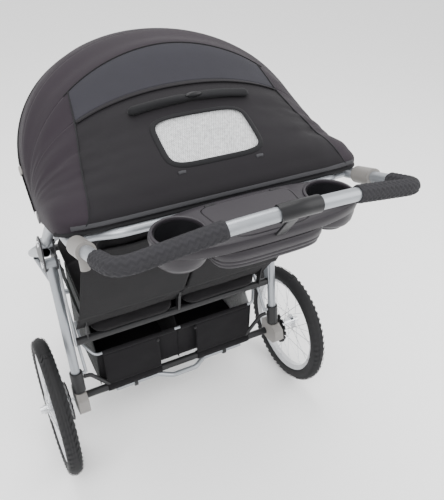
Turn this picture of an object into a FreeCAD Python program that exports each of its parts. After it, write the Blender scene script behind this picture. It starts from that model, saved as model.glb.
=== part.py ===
import FreeCAD, Part
import math
import os
import re
import sys

import Sketcher

# Side-by-side jogging stroller: a folding steel-tube frame on three spoked wheels, two hung seats,
# one wide canopy, a parent tray and a storage basket.
# Frame of the model: +Z up, the stroller faces -Y, +X is the rider's left. Lengths in millimetres.
# The pieces are laid out from the rear axle (y = 0); at the end everything moves along Y so that the
# origin lies on the ground below the middle of the stroller's length.

V = FreeCAD.Vector
os.makedirs("parts", exist_ok=True)
doc = FreeCAD.newDocument("stroller")

# ---------------------------------------------------------------- driving dimensions
DIMENSIONS = [
    # rear wheels
    ("tyre_outer_r", 199.5), ("tyre_section_r", 23.0), ("wheel_offset", 65.0),
    ("rim_width", 30.0), ("rim_depth", 14.0), ("rim_wall", 2.0), ("rim_fit", 0.2),
    ("hub_half_length", 35.0), ("hub_barrel_r", 13.0), ("hub_flange_r", 24.0), ("flange_width", 3.0),
    ("flange_offset", 24.0), ("spoke_r", 0.95), ("spoke_layer", 1.7), ("spoke_clear", 0.5),
    ("spoke_lean", 48.0), ("spoke_rim_offset", 4.0), ("spoke_count", 28.0), ("axle_r", 6.0),
    ("running_gap", 0.06), ("cog_r", 56.0), ("cog_width", 4.0), ("cog_gap", 0.2),
    ("cog_slot_width", 8.0), ("cog_slot_depth", 10.0), ("cog_slots", 16.0), ("axle_nut_r", 10.0),
    ("axle_nut_length", 8.0), ("axle_overhang", 1.0),
    # front wheel and fork
    ("front_tyre_outer_r", 153.0), ("front_tyre_section_r", 24.0), ("front_wheel_back", 640.0),
    ("caster_trail", 50.0), ("front_hub_half", 30.0), ("front_spoke_count", 20.0),
    ("fork_blade_x", 42.0), ("fork_blade_r", 9.0), ("fork_stem_r", 11.0), ("fork_lug_r", 14.0),
    ("fork_lug_width", 8.0), ("crown_clear", 22.0), ("crown_height", 10.0), ("crown_depth", 30.0),
    ("head_r", 22.0), ("head_length", 64.0), ("head_gap", 2.0),
    # frame
    ("main_tube_r", 12.7), ("tube_wall", 1.6), ("frame_half_width", 323.0),
    ("hinge_y", -65.0), ("hinge_z", 700.0), ("leg_pivot_y", -60.0), ("leg_pivot_z", 640.0),
    ("eye_r", 14.0), ("hinge_bolt_r", 5.0), ("bolt_head_r", 9.0), ("bolt_head", 4.0),
    ("plate_width", 4.0), ("plate_r", 20.0), ("plate_gap", 0.5),
    ("front_tube_start_y", -97.0), ("front_tube_start_z", 650.0), ("front_tube_bend_y", -425.0),
    ("front_tube_slope", 0.6426), ("leg_toe_in", 3.0), ("leg_foot_y", 6.0), ("leg_foot_rise", 100.5),
    ("leg_below_foot", 40.0), ("sleeve_r", 18.0), ("sleeve_length", 62.0), ("axle_tube_r", 11.0),
    ("axle_tube_wall", 2.0), ("brace_r", 6.0), ("brace_start", 94.0), ("brace_bend", 22.0),
    ("housing_half", 15.0), ("link_r", 4.5), ("link_inset", 31.0), ("link_pin_r", 5.0),
    ("link_foot_y", 8.0), ("link_top_y", -223.0), ("cross_tube_r", 9.5), ("seat_tube_r", 11.0),
    ("crossbar_y", 291.0), ("crossbar_z", 913.0), ("crossbar_end_y", 252.0), ("crossbar_end_z", 896.0),
    # handle
    ("collar_y", 318.0), ("grip_r", 16.5), ("grip_end_x", 128.0), ("collar_r", 19.0),
    ("collar_length", 58.0), ("slide_gap", 0.08), ("handle_top_y", 515.0), ("handle_top_z", 1025.0),
    ("handle_bend", 62.0),
    # seats
    ("hanger_width", 3.0), ("hanger_half", 12.0), ("seat_front_y", -350.0), ("seat_rear_y", -10.0),
    ("seat_rear_z", 400.0), ("seat_side", 56.0), ("seat_split", 10.0), ("pan_thickness", 36.0),
    ("pan_overhang", 22.0), ("soft_gap", 0.4), ("back_pivot_y", -2.0), ("back_pivot_z", 472.0),
    ("recline_rod_r", 6.0), ("recline_ear_r", 12.0), ("recline_ear", 3.0), ("back_length", 410.0),
    ("back_thickness", 34.0), ("back_angle", 64.0), ("footrest_y", -425.0), ("footrest_z", 250.0),
    ("footrest_depth", 96.0), ("footrest_inset", 61.0), ("footrest_plate", 6.0), ("deck_inset", 45.0),
    # tray
    ("cup_x", 162.0), ("cup_y", 390.0), ("cup_rim_z", 948.0), ("cup_r", 47.0), ("cup_depth", 82.0),
    ("cup_wall", 6.0), ("liner_wall", 2.0), ("tray_front_y", 318.0), ("tray_back_y", 466.0),
    ("tray_top_z", 950.0), ("tray_depth", 66.0), ("tray_wall", 3.0), ("lid_half_length", 96.0),
    ("lid_thickness", 5.0), ("lid_gap", 0.6), ("clip_wall", 7.0), ("clip_set", 3.2), ("clip_half", 45.0),
    # canopy
    ("canopy_pivot_y", 85.0), ("canopy_pivot_z", 862.0), ("bow_width", 8.0), ("bow_thickness", 2.5),
    ("bow_gap", 0.3), ("bow_side_gap", 1.2), ("fabric", 2.0), ("fabric_clear", 3.4), ("hem_angle", 17.0),
    ("mid_angle", 101.0), ("top_angle", 130.0), ("visor_angle", 148.0), ("hem_reach", 199.0),
    ("mid_reach", 225.0), ("top_reach", 372.0), ("visor_reach", 450.0), ("visor_set", 10.0), ("mid_set", 1.0),
    ("canopy_pin_r", 5.0),
    ("canopy_disc_r", 15.0), ("saddle_r", 18.0), ("pin_head_r", 13.0), ("pin_head", 3.0),
    # basket
    ("basket_inset", 71.0), ("basket_rear_y", -11.6), ("basket_front_y", -290.0),
    ("basket_floor_z", 196.0), ("basket_rear_z", 321.8), ("basket_front_z", 372.0),
    ("basket_wall", 3.0), ("wire_r", 4.5),
    # brake bar, buckles, knob
    ("brake_bar_r", 8.0), ("brake_bar_half", 210.0), ("brake_bar_wall", 1.4), ("brake_crank_y", 27.0),
    ("brake_crank_half", 46.0), ("brake_set_y", -2.0), ("brake_lug", 5.0), ("buckle_width", 44.0),
    ("buckle_height", 40.0), ("buckle_depth", 14.0), ("buckle_forward", 158.1), ("button_r", 8.0),
    ("button_height", 6.0), ("button_sunk", 3.5), ("knob_r", 9.0), ("knob_height", 16.0),
    ("knob_stem_r", 4.0),
]
sheet = doc.addObject("Spreadsheet::Sheet", "Dims")
for row, (word, number) in enumerate(DIMENSIONS, start=1):
    sheet.set(f"A{row}", word)
    sheet.set(f"B{row}", str(number))
    sheet.setAlias(f"B{row}", word)
doc.recompute()


class Sizes:
    """The sheet's values by name."""

    def __getattr__(self, word):
        return float(sheet.get(word))


D = Sizes()
nodes = {}


def bound(text):
    """The expression with every name read from the sheet."""
    return re.sub(r"\b([a-z_]+[a-z_0-9]*)\b", r"Dims.\1", text)


def bind(thing, **sizes):
    """Bind properties of a document object to expressions of the sheet's names."""
    for name, text in sizes.items():
        thing.setExpression(name, bound(text))
    return thing


def turned(at=(0, 0, 0), axis=(0, 0, 1)):
    """A placement at a point, with the local Z along axis."""
    return FreeCAD.Placement(V(*at), FreeCAD.Rotation(V(0, 0, 1), V(*axis)))


def rod(radius, length, at, axis=(0, 0, 1)):
    """A round bar that starts at a point and runs along axis."""
    bar = doc.addObject("Part::Cylinder", "Bar")
    bind(bar, Radius=radius, Height=length)
    bar.Placement = turned(at, axis)
    return bar


def block(length, width, height, at, rotation=None):
    """A rectangular block from its lowest corner."""
    solid = doc.addObject("Part::Box", "Block")
    bind(solid, Length=length, Width=width, Height=height)
    solid.Placement = FreeCAD.Placement(V(*at), rotation or FreeCAD.Rotation())
    return solid


def cut(base, *tools):
    """base with each tool taken out of it."""
    for tool in tools:
        result = doc.addObject("Part::Cut", "Cut")
        result.Base, result.Tool = base, tool
        base = result
    return base


def fuse(*pieces):
    """One solid from several that touch."""
    result = doc.addObject("Part::MultiFuse", "Fuse")
    result.Shapes = list(pieces)
    result.Refine = True
    return result


def group(*pieces):
    """Several separate solids in one node."""
    result = doc.addObject("Part::Compound", "Group")
    result.Links = list(pieces)
    return result


def mirrored(piece):
    """The same piece on the other side of the stroller."""
    result = doc.addObject("Part::Mirroring", "Mirror")
    result.Source = piece
    result.Base, result.Normal = V(0, 0, 0), V(1, 0, 0)
    return result


def both(piece):
    """The piece and its mirror image as one node's solids."""
    return group(piece, mirrored(piece))


def shaped(shape):
    """A piece whose shape is made from curves directly."""
    feature = doc.addObject("Part::Feature", "Piece")
    feature.Shape = shape
    return feature


def node(name, piece):
    """Name a finished sub-part."""
    piece.Label = name
    nodes[name] = piece
    return piece


def rounded_path(points, radius):
    """Straight runs through the points, with tangent arcs of the given radius (or a list of radii)."""
    points = [V(*p) for p in points]
    radii = radius if isinstance(radius, (list, tuple)) else [radius] * (len(points) - 2)
    edges = []
    start = points[0]
    for i in range(1, len(points) - 1):
        before, corner, after = points[i - 1], points[i], points[i + 1]
        into = (corner - before).normalize()
        out = (after - corner).normalize()
        turn = into.getAngle(out)
        if turn < 1e-4:
            continue
        r = radii[i - 1]
        back = r * math.tan(turn / 2)
        first, last = corner - into * back, corner + out * back
        inward = (out - into).normalize()
        middle = corner + inward * (r / math.cos(turn / 2) - r)
        edges.append(Part.LineSegment(start, first).toShape())
        edges.append(Part.Arc(first, middle, last).toShape())
        start = last
    edges.append(Part.LineSegment(start, points[-1]).toShape())
    return Part.Wire(edges)


def swept(path, radius, wall=0.0):
    """A round tube or bar along a path."""
    begin = path.Edges[0]
    at = begin.valueAt(begin.FirstParameter)
    along = begin.tangentAt(begin.FirstParameter)

    def solid(r):
        ring = Part.Wire([Part.makeCircle(r, at, along)])
        return path.makePipeShell([ring], True, False)

    outer = solid(radius)
    return outer.cut(solid(radius - wall)) if wall else outer


def tube(points, bend, radius, wall=0.0):
    return shaped(swept(rounded_path(points, bend), radius, wall))


def revolve(outline, at, axis):
    """A PartDesign body: an outline of (radius, height) names turned about axis, from a point on it."""
    body = doc.addObject("PartDesign::Body", "Turned")
    sketch = body.newObject("Sketcher::SketchObject", "Section")
    plane = [o for o in body.Origin.OriginFeatures if o.Role == "XZ_Plane"][0]
    sketch.AttachmentSupport = [(plane, "")]
    sketch.MapMode = "FlatFace"
    values = [[evaluate(text) for text in corner] for corner in outline]
    for i, corner in enumerate(values):
        nxt = values[(i + 1) % len(values)]
        sketch.addGeometry(Part.LineSegment(V(corner[0], corner[1], 0), V(nxt[0], nxt[1], 0)), False)
    count = len(values)
    for i in range(count):
        sketch.addConstraint(Sketcher.Constraint("Coincident", i, 2, (i + 1) % count, 1))
    for i, corner in enumerate(outline):
        for kind, text, value in zip(("DistanceX", "DistanceY"), corner, values[i]):
            if abs(value) < 1e-9:
                line = -2 if kind == "DistanceX" else -1
                sketch.addConstraint(Sketcher.Constraint("PointOnObject", i, 1, line))
            else:
                number = sketch.addConstraint(Sketcher.Constraint(kind, -1, 1, i, 1, value))
                sketch.setExpression(f"Constraints[{number}]", bound(text))
    turn = body.newObject("PartDesign::Revolution", "Turn")
    turn.Profile = sketch
    turn.ReferenceAxis = (sketch, ["V_Axis"])
    turn.Angle = 360
    body.Tip = turn
    body.Placement = turned(at, axis)
    return body


def evaluate(text):
    """The value of an expression of the sheet's names."""
    total = 0.0
    for sign, term in re.findall(r"([+-]?)\s*([^+-]+)", text):
        value = 1.0
        for operator, factor in re.findall(r"([*/]?)\s*([a-z_0-9.]+)", term):
            number = float(factor) if re.fullmatch(r"[0-9.]+", factor) else getattr(D, factor)
            value = value / number if operator == "/" else value * number
        total += -value if sign == "-" else value
    return total


def on_plane(x, angle, reach, y0, z0):
    """The point at a distance from a cross axis through (y0, z0), at an angle above the rearward level."""
    a = math.radians(angle)
    return V(x, y0 + reach * math.cos(a), z0 + reach * math.sin(a))


# ---------------------------------------------------------------- wheels
def wheel(prefix, outer, section, centre, half, spokes, cog):
    """Tyre, rim, crossed spokes and hub of one wheel, its axle along X."""
    x, y, z = centre
    ring = doc.addObject("Part::Torus", "Tyre")
    bind(ring, Radius1=f"{outer} - {section}", Radius2=section)
    ring.Placement = turned(centre, (1, 0, 0))
    seat_r = f"{outer} - {section} - {section} + rim_depth / 2"
    well = rod(seat_r, "rim_width + rim_width", (x - D.rim_width, y, z), (1, 0, 0))
    node(prefix + "_tyre", cut(ring, well))
    inner = f"{seat_r} - rim_depth"
    rim = revolve([
        (inner, "rim_width / 4"), (f"{seat_r} - rim_wall", "rim_wall"),
        (f"{seat_r} - rim_fit", "rim_wall / 4"), (f"{seat_r} - rim_fit", "rim_width - rim_wall / 4"),
        (f"{seat_r} - rim_wall", "rim_width - rim_wall"),
        (inner, "rim_width - rim_width / 4")],
        (x - D.rim_width / 2, y, z), (1, 0, 0))
    node(prefix + "_rim", rim)
    half_length = evaluate(half)
    bore = "axle_r + running_gap"
    near, far = f"{half} - flange_offset", f"{half} + flange_offset"
    hub = revolve([
        (bore, "0"), ("hub_barrel_r", "0"), ("hub_barrel_r", near), ("hub_flange_r", near),
        ("hub_flange_r", near + " + flange_width"), ("hub_barrel_r", near + " + flange_width"),
        ("hub_barrel_r", far + " - flange_width"), ("hub_flange_r", far + " - flange_width"),
        ("hub_flange_r", far), ("hub_barrel_r", far), ("hub_barrel_r", f"{half} + {half}"),
        (bore, f"{half} + {half}")],
        (x - half_length, y, z), (1, 0, 0))
    node(prefix + "_hub", hub)
    if cog:
        side = -1 if x > 0 else 1
        inboard = x + side * (half_length + D.cog_gap)
        start = inboard if side > 0 else inboard - D.cog_width
        disc = rod("cog_r", "cog_width", (start, y, z), (1, 0, 0))
        tools = [rod(bore, "cog_width + 4", (start - 2, y, z), (1, 0, 0))]
        slots = int(D.cog_slots)
        for i in range(slots):
            turn = FreeCAD.Rotation(V(1, 0, 0), 360.0 * i / slots)
            corner = turn.multVec(V(start - 2 - x, -D.cog_slot_width / 2, D.cog_r - D.cog_slot_depth))
            tools.append(block("cog_width + 4", "cog_slot_width", "cog_slot_depth + 2",
                               (x + corner.x, y + corner.y, z + corner.z), turn))
        node(prefix + "_brake_cog", cut(disc, fuse(*tools[1:]), tools[0]))
    made = []
    count = int(spokes)
    outer_end = evaluate(inner) - D.spoke_clear
    for i in range(count):
        side = 1 if i % 2 else -1
        lean = (1 if i % 4 < 2 else -1) * math.radians(D.spoke_lean)
        a = 2 * math.pi * i / count
        root = a + lean
        layer = D.spoke_layer if lean > 0 else -D.spoke_layer
        head_r = D.hub_flange_r + D.spoke_clear
        start = V(x + side * (D.flange_offset - D.flange_width / 2 + layer), y + head_r * math.cos(root),
                  z + head_r * math.sin(root))
        end = V(x + side * (D.spoke_rim_offset + 0.7 * layer), y + outer_end * math.cos(a),
                z + outer_end * math.sin(a))
        way = end - start
        made.append(Part.makeCylinder(D.spoke_r, way.Length, start, way))
    node(prefix + "_spokes", shaped(Part.makeCompound(made)))


half = D.frame_half_width
track = half + D.wheel_offset
axle_z = D.tyre_outer_r
for prefix, sign in (("left", 1), ("right", -1)):
    wheel(prefix, "tyre_outer_r", "tyre_section_r", (sign * track, 0, axle_z),
          "hub_half_length", D.spoke_count, True)
front_axle_y = -D.front_wheel_back
wheel("front", "front_tyre_outer_r", "front_tyre_section_r", (0, front_axle_y, D.front_tyre_outer_r),
      "front_hub_half", D.front_spoke_count, False)

# ---------------------------------------------------------------- fork and steering head
steer_y = front_axle_y - D.caster_trail
axle_front_z = D.front_tyre_outer_r
crown_z = 2 * D.front_tyre_outer_r + D.crown_clear
crown_top = crown_z + D.crown_height
head_bottom = crown_top + D.head_gap
blade_x = D.fork_blade_x
blade = tube([(blade_x, front_axle_y, axle_front_z + 8), (blade_x, front_axle_y - 4, axle_front_z + 90),
              (blade_x, steer_y + 4, crown_z - 32), (blade_x, steer_y, crown_z + 2)], 40, D.fork_blade_r)
crown = block("fork_blade_x + fork_blade_x + fork_blade_r + fork_blade_r + 4", "crown_depth", "crown_height",
              (-blade_x - D.fork_blade_r - 2, steer_y - D.crown_depth / 2, crown_z))
stem = rod("fork_stem_r", "head_length + head_gap + head_gap + crown_height / 2",
           (0, steer_y, crown_z + D.crown_height / 2))
lug_at = (blade_x - D.fork_lug_width / 2, front_axle_y, axle_front_z)
lug = cut(rod("fork_lug_r", "fork_lug_width", lug_at, (1, 0, 0)),
          rod("axle_r + running_gap", "fork_lug_width", lug_at, (1, 0, 0)))
side_blade = cut(blade, rod("fork_lug_r", "fork_lug_r + fork_lug_r",
                            (blade_x - D.fork_lug_r, front_axle_y, axle_front_z), (1, 0, 0)))
node("front_fork", fuse(crown, stem, side_blade, lug, mirrored(side_blade), mirrored(lug)))
nut_x = blade_x + D.fork_lug_width / 2 + 0.5
front_axle = fuse(rod("axle_r", str(2 * nut_x + 2), (-nut_x - 1, front_axle_y, axle_front_z), (1, 0, 0)),
                  rod("axle_nut_r", "axle_nut_length", (nut_x, front_axle_y, axle_front_z), (1, 0, 0)),
                  rod("axle_nut_r", "axle_nut_length",
                      (-nut_x - D.axle_nut_length, front_axle_y, axle_front_z), (1, 0, 0)))
node("front_axle", front_axle)
head = cut(rod("head_r", "head_length", (0, steer_y, head_bottom)),
           rod("fork_stem_r + running_gap", "head_length", (0, steer_y, head_bottom)))
knob_y = steer_y + D.head_r + 10
knob_z = head_bottom + 18
bracket = cut(block("26", "26", "20", (-13, steer_y + D.head_r - 3, knob_z)),
              rod("knob_stem_r + slide_gap", "40", (0, knob_y, knob_z - 10)))
node("steering_head", fuse(head, bracket))
node("swivel_lock_knob", fuse(rod("knob_stem_r", "34", (0, knob_y, knob_z - 6)),
                              rod("knob_r", "knob_height", (0, knob_y, knob_z + 20.4))))

# ---------------------------------------------------------------- front frame


def front_tube_z(y):
    """Height of the straight part of the front tube."""
    return D.front_tube_start_z - (D.front_tube_start_y - y) * D.front_tube_slope


front_points = [
    (half, D.front_tube_start_y, D.front_tube_start_z),
    (half, D.front_tube_bend_y, front_tube_z(D.front_tube_bend_y)),
    (120, steer_y + 60, head_bottom + 44),
    (D.head_r - 1, steer_y + 6, head_bottom + 40),
]
front_tube = tube(front_points, [90, 60], D.main_tube_r, D.tube_wall)
link_x = half - D.link_inset
link_top = V(link_x, D.link_top_y, front_tube_z(D.link_top_y))
lug_length = D.link_inset - D.main_tube_r - D.link_r - 1.5
rod_lug = rod("7", str(lug_length + D.tube_wall),
              (half - D.main_tube_r - lug_length, D.link_top_y, link_top.z), (1, 0, 0))
head_space = rod("head_r + 0.1", "head_length + 40", (0, steer_y, head_bottom - 20))
node("front_tubes", both(fuse(cut(front_tube, head_space), rod_lug)))

inner_plate_x = half - D.main_tube_r - D.plate_gap - D.plate_width
outer_plate_x = half + D.main_tube_r + D.plate_gap


def hinge_plate(x):
    """Rounded side plate that carries the frame hinge and the leg pivot."""
    points = [(D.hinge_y, D.hinge_z), (D.leg_pivot_y, D.leg_pivot_z),
              (D.front_tube_start_y - 16, D.front_tube_start_z - 6)]
    discs = [Part.makeCylinder(D.plate_r, D.plate_width, V(x, y, z), V(1, 0, 0)) for y, z in points]
    face = Part.Face(Part.makePolygon([V(x, y, z) for y, z in points] + [V(x, *points[0])]))
    plate = face.extrude(V(D.plate_width, 0, 0))
    for i in range(3):
        a, b = V(x, *points[i]), V(x, *points[(i + 1) % 3])
        way = (b - a).normalize()
        side = way.cross(V(1, 0, 0)) * D.plate_r
        strip = Part.Face(Part.makePolygon([a + side, b + side, b - side, a - side, a + side]))
        plate = plate.fuse(strip.extrude(V(D.plate_width, 0, 0)))
    for disc in discs:
        plate = plate.fuse(disc)
    hole_r = D.hinge_bolt_r + D.running_gap
    for y, z in points[:2]:
        plate = plate.cut(Part.makeCylinder(hole_r, D.plate_width, V(x, y, z), V(1, 0, 0)))
    return plate.removeSplitter()


plates = group(shaped(hinge_plate(inner_plate_x)), shaped(hinge_plate(outer_plate_x)))
node("hinge_plates", both(plates))


def hinge_bolt(y, z, under):
    """Shoulder bolt through both plates and what lies under its nut, with its head outside."""
    length = outer_plate_x + D.plate_width - inner_plate_x + under
    return fuse(rod("hinge_bolt_r", str(length + 0.2), (inner_plate_x - under - 0.1, y, z), (1, 0, 0)),
                rod("bolt_head_r", "bolt_head", (outer_plate_x + D.plate_width + 0.1, y, z), (1, 0, 0)),
                rod("bolt_head_r - 1", "bolt_head",
                    (inner_plate_x - under - 0.1 - D.bolt_head, y, z), (1, 0, 0)))


node("hinge_bolts", both(group(hinge_bolt(D.hinge_y, D.hinge_z, 0.0),
                               hinge_bolt(D.leg_pivot_y, D.leg_pivot_z, D.hanger_width + 0.2))))

seat_front_z = front_tube_z(D.seat_front_y)
tube_end = half - D.main_tube_r - 0.3
front_bar = rod("seat_tube_r", str(2 * tube_end), (-tube_end, D.seat_front_y, seat_front_z), (1, 0, 0))
hanger_x = inner_plate_x - D.hanger_width - 0.1
rear_end = hanger_x - 0.3
rear_bar = rod("seat_tube_r", str(2 * rear_end), (-rear_end, D.seat_rear_y, D.seat_rear_z), (1, 0, 0))
seat_width = half - D.seat_side - D.seat_split / 2
bracket_x = half - D.seat_side + 1.5


def recline_bracket(x, thick):
    """Upright ear on the rear seat tube that carries a recline rod's end."""
    foot, top = V(x, D.seat_rear_y, D.seat_rear_z), V(x, D.back_pivot_y, D.back_pivot_z)
    side = (top - foot).normalize().cross(V(1, 0, 0)) * (D.recline_ear_r - 3)
    ear = Part.Face(Part.makePolygon([foot + side, top + side, top - side, foot - side, foot + side]))
    ear = ear.extrude(V(thick, 0, 0)).fuse(Part.makeCylinder(D.recline_ear_r, thick, top, V(1, 0, 0)))
    return shaped(ear.cut(Part.makeCylinder(D.recline_rod_r + D.running_gap, thick, top, V(1, 0, 0))))


ears = [recline_bracket(1 - D.seat_split / 2, D.seat_split - 2), recline_bracket(bracket_x, D.recline_ear),
        recline_bracket(-bracket_x - D.recline_ear, D.recline_ear)]
node("seat_tubes", group(front_bar, fuse(rear_bar, *ears)))


def hanger():
    """Flat strap from the hinge plate down to the end of the rear seat tube."""
    thick = D.hanger_width
    top = V(hanger_x, D.leg_pivot_y, D.leg_pivot_z)
    foot = V(hanger_x, D.seat_rear_y, D.seat_rear_z)
    way = (foot - top).normalize()
    side = way.cross(V(1, 0, 0)) * D.hanger_half
    strip = Part.Face(Part.makePolygon([top + side, foot + side, foot - side, top - side, top + side]))
    strap = strip.extrude(V(thick, 0, 0))
    for end in (top, foot):
        strap = strap.fuse(Part.makeCylinder(D.hanger_half, thick, end, V(1, 0, 0)))
    hole = Part.makeCylinder(D.hinge_bolt_r + D.running_gap, thick, top, V(1, 0, 0))
    return strap.cut(hole).removeSplitter()


node("seat_hangers", both(shaped(hanger())))

foot_half = half - D.footrest_inset
foot_end = V(half - 9, D.footrest_y + 26, front_tube_z(D.footrest_y + 26) - D.main_tube_r - 6.6)
foot_tube_points = [(foot_end.x, foot_end.y, foot_end.z), (foot_half - 4, D.footrest_y, D.footrest_z),
                    (4 - foot_half, D.footrest_y, D.footrest_z), (-foot_end.x, foot_end.y, foot_end.z)]
node("footrest_tube", tube(foot_tube_points, 45, D.cross_tube_r, D.tube_wall))
deck_half = foot_half - D.deck_inset
deck = block(str(2 * deck_half), "footrest_depth", "footrest_plate",
             (-deck_half, D.footrest_y - D.footrest_depth / 2, D.footrest_z + D.cross_tube_r + 0.3))
node("footrest_deck", deck)

# ---------------------------------------------------------------- seats
seat_run = V(0, D.seat_front_y - D.seat_rear_y, seat_front_z - D.seat_rear_z)
pan_angle = math.degrees(math.atan2(seat_run.z, -seat_run.y))


def seat_left(sign):
    """The lower X side of one seat."""
    return D.seat_split / 2 if sign > 0 else -D.seat_split / 2 - seat_width


def placed(at, angle, offset):
    """A placement turned about X at a point, with an offset in its own axes."""
    turn = FreeCAD.Placement(V(*at), FreeCAD.Rotation(V(1, 0, 0), angle))
    return turn.multiply(FreeCAD.Placement(V(*offset), FreeCAD.Rotation()))


def seat_pan(sign):
    """Padded seat that lies on the two seat tubes, as a plain slab."""
    slab = block(str(seat_width), str(seat_run.Length + 2 * D.pan_overhang), "pan_thickness", (0, 0, 0))
    slab.Placement = placed((seat_left(sign), D.seat_rear_y, D.seat_rear_z), -pan_angle,
                            (0, -seat_run.Length - D.pan_overhang, D.seat_tube_r + D.soft_gap))
    return slab


def seat_back(sign):
    """Padded back that stands on the recline pivot."""
    slab = block(str(seat_width), "back_length - recline_rod_r - soft_gap", "back_thickness", (0, 0, 0))
    slab.Placement = placed((seat_left(sign), D.back_pivot_y, D.back_pivot_z), D.back_angle,
                            (0, D.recline_rod_r + D.soft_gap, -D.back_thickness / 2))
    return slab


for name, sign in (("left", 1), ("right", -1)):
    node(f"seat_pan_{name}", seat_pan(sign))
    node(f"seat_back_{name}", seat_back(sign))
    rod_end = bracket_x + D.recline_ear + 2
    pivot_start = D.soft_gap if sign > 0 else -rod_end
    pivot = rod("recline_rod_r", str(rod_end - D.soft_gap),
                (pivot_start, D.back_pivot_y, D.back_pivot_z), (1, 0, 0))
    node(f"recline_rod_{name}", pivot)


def buckle(centre):
    """Harness buckle that lies on the seat, with a round release button in its face."""
    up = FreeCAD.Rotation(V(1, 0, 0), -pan_angle)
    along = D.buckle_forward / (D.seat_rear_y - D.seat_front_y)
    seat = V(centre, D.seat_rear_y - D.buckle_forward, D.seat_rear_z + along * seat_run.z)
    out = up.multVec(V(0, 0, 1))
    base = seat + out * (D.seat_tube_r + 2 * D.soft_gap + D.pan_thickness)
    body = block("buckle_width", "buckle_height", "buckle_depth", (0, 0, 0))
    body.Placement = placed(base, -pan_angle, (-D.buckle_width / 2, -D.buckle_height / 2, 0))
    floor = D.buckle_depth - D.button_height - 2
    well = rod("button_r + slide_gap", "buckle_depth", tuple(base + out * floor), tuple(out))
    button_at = base + out * (D.buckle_depth - D.button_sunk)
    button = rod("button_r", "button_height", tuple(button_at), tuple(out))
    return cut(body, well), button


buckles = []
for name, sign in (("left", 1), ("right", -1)):
    body, button = buckle(sign * (D.seat_split / 2 + seat_width / 2))
    buckles.append(body)
    node(f"buckle_button_{name}", button)
node("harness_buckles", group(*buckles))

# ---------------------------------------------------------------- rear legs, axle and basket
leg_x = half - D.leg_toe_in
foot = V(leg_x, D.leg_foot_y, axle_z + D.leg_foot_rise)
knee = V(half, D.leg_pivot_y, D.leg_pivot_z)
leg_way = (foot - knee).normalize()
leg_end = foot + leg_way * D.leg_below_foot


def eyed_tube(eye, start, end, wall):
    """A tube that ends in a pierced eye at a pivot."""
    way = end - start
    length = way.Length
    way.normalize()
    body = Part.makeCylinder(D.main_tube_r, length, start, way)
    bore = Part.makeCylinder(D.main_tube_r - wall, length - D.eye_r, start + way * D.eye_r, way)
    body = body.cut(bore)
    ring = Part.makeCylinder(D.eye_r, 2 * D.main_tube_r, V(eye.x - D.main_tube_r, eye.y, eye.z), V(1, 0, 0))
    body = body.fuse(ring)
    hole = Part.makeCylinder(D.hinge_bolt_r + D.running_gap, 60, V(eye.x - 30, eye.y, eye.z), V(1, 0, 0))
    return body.cut(hole).removeSplitter()


node("rear_legs", both(shaped(eyed_tube(knee, knee + leg_way * 4, leg_end, D.tube_wall))))
sleeve = cut(rod("sleeve_r", "sleeve_length", tuple(foot - leg_way * 6), tuple(leg_way)),
             rod("main_tube_r + slide_gap", "sleeve_length", tuple(foot - leg_way * 7), tuple(leg_way)))
node("leg_sleeves", both(sleeve))


def housing():
    """Cast dropout that joins the leg, the axle tube and the wheel axle."""
    x0, x1 = leg_x - D.housing_half, leg_x + D.housing_half
    outline = [(-24, 36.5), (-18, -15.5), (10, -23.5), (52, -13.5),
               (66, 6.5), (58, 36.5), (34, 46.5), (-6, 44.5)]
    face = Part.Face(Part.makePolygon([V(x0, y, axle_z + up) for y, up in outline + outline[:1]]))
    shape = face.extrude(V(x1 - x0, 0, 0))
    shape = shape.makeFillet(5, [e for e in shape.Edges if abs(e.BoundBox.XLength) > D.housing_half])
    shape = shape.cut(Part.makeCylinder(D.sleeve_r + 0.3, 80, foot - leg_way * 20, leg_way))
    shape = shape.cut(Part.makeCylinder(D.axle_r + 0.02, x1 - x0, V(x0, 0, axle_z), V(1, 0, 0)))
    return shape.cut(Part.makeCylinder(D.axle_tube_r + 0.3, 5, V(x0, 0, axle_z), V(1, 0, 0)))


node("axle_housings", both(shaped(housing())))
tube_half = leg_x - D.housing_half - 0.3
axle_bar = swept(rounded_path([(-tube_half, 0, axle_z), (tube_half, 0, axle_z)], 0), D.axle_tube_r,
                 D.axle_tube_wall)
brace = rounded_path([(half - D.brace_start, 0, axle_z + D.axle_tube_r - 1), (half - 43, 3, axle_z + 76.5),
                      (leg_x - D.sleeve_r - 3, 6, axle_z + 81.5)], D.brace_bend)
brace_rod = swept(brace, D.brace_r)
braces = [brace_rod, brace_rod.mirror(V(0, 0, 0), V(1, 0, 0))]
brake_y = D.brake_set_y
brake_z = axle_z - D.axle_tube_r - D.brake_bar_r - 2


def brake_lug(x, width):
    """Pierced ear under the axle tube that the brake bar turns in."""
    ear = Part.makeCylinder(D.brake_bar_r + D.brake_lug, width, V(x, brake_y, brake_z), V(1, 0, 0))
    hole = Part.makeCylinder(D.brake_bar_r + D.running_gap, width, V(x, brake_y, brake_z), V(1, 0, 0))
    tube_space = Part.makeCylinder(D.axle_tube_r - 1, width, V(x, 0, axle_z), V(1, 0, 0))
    return ear.cut([hole, tube_space])


lugs = [brake_lug(-155, 10), brake_lug(145, 10)]
axle_frame = axle_bar.fuse(braces + lugs)
node("axle_tube", shaped(axle_frame.removeSplitter()))

axle_end = track + D.hub_half_length + D.axle_overhang
wheel_axle = fuse(rod("axle_r", str(axle_end - leg_x + 8), (leg_x - 2, 0, axle_z), (1, 0, 0)),
                  rod("axle_nut_r", "axle_nut_length", (axle_end, 0, axle_z), (1, 0, 0)))
node("wheel_axles", both(wheel_axle))

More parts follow.
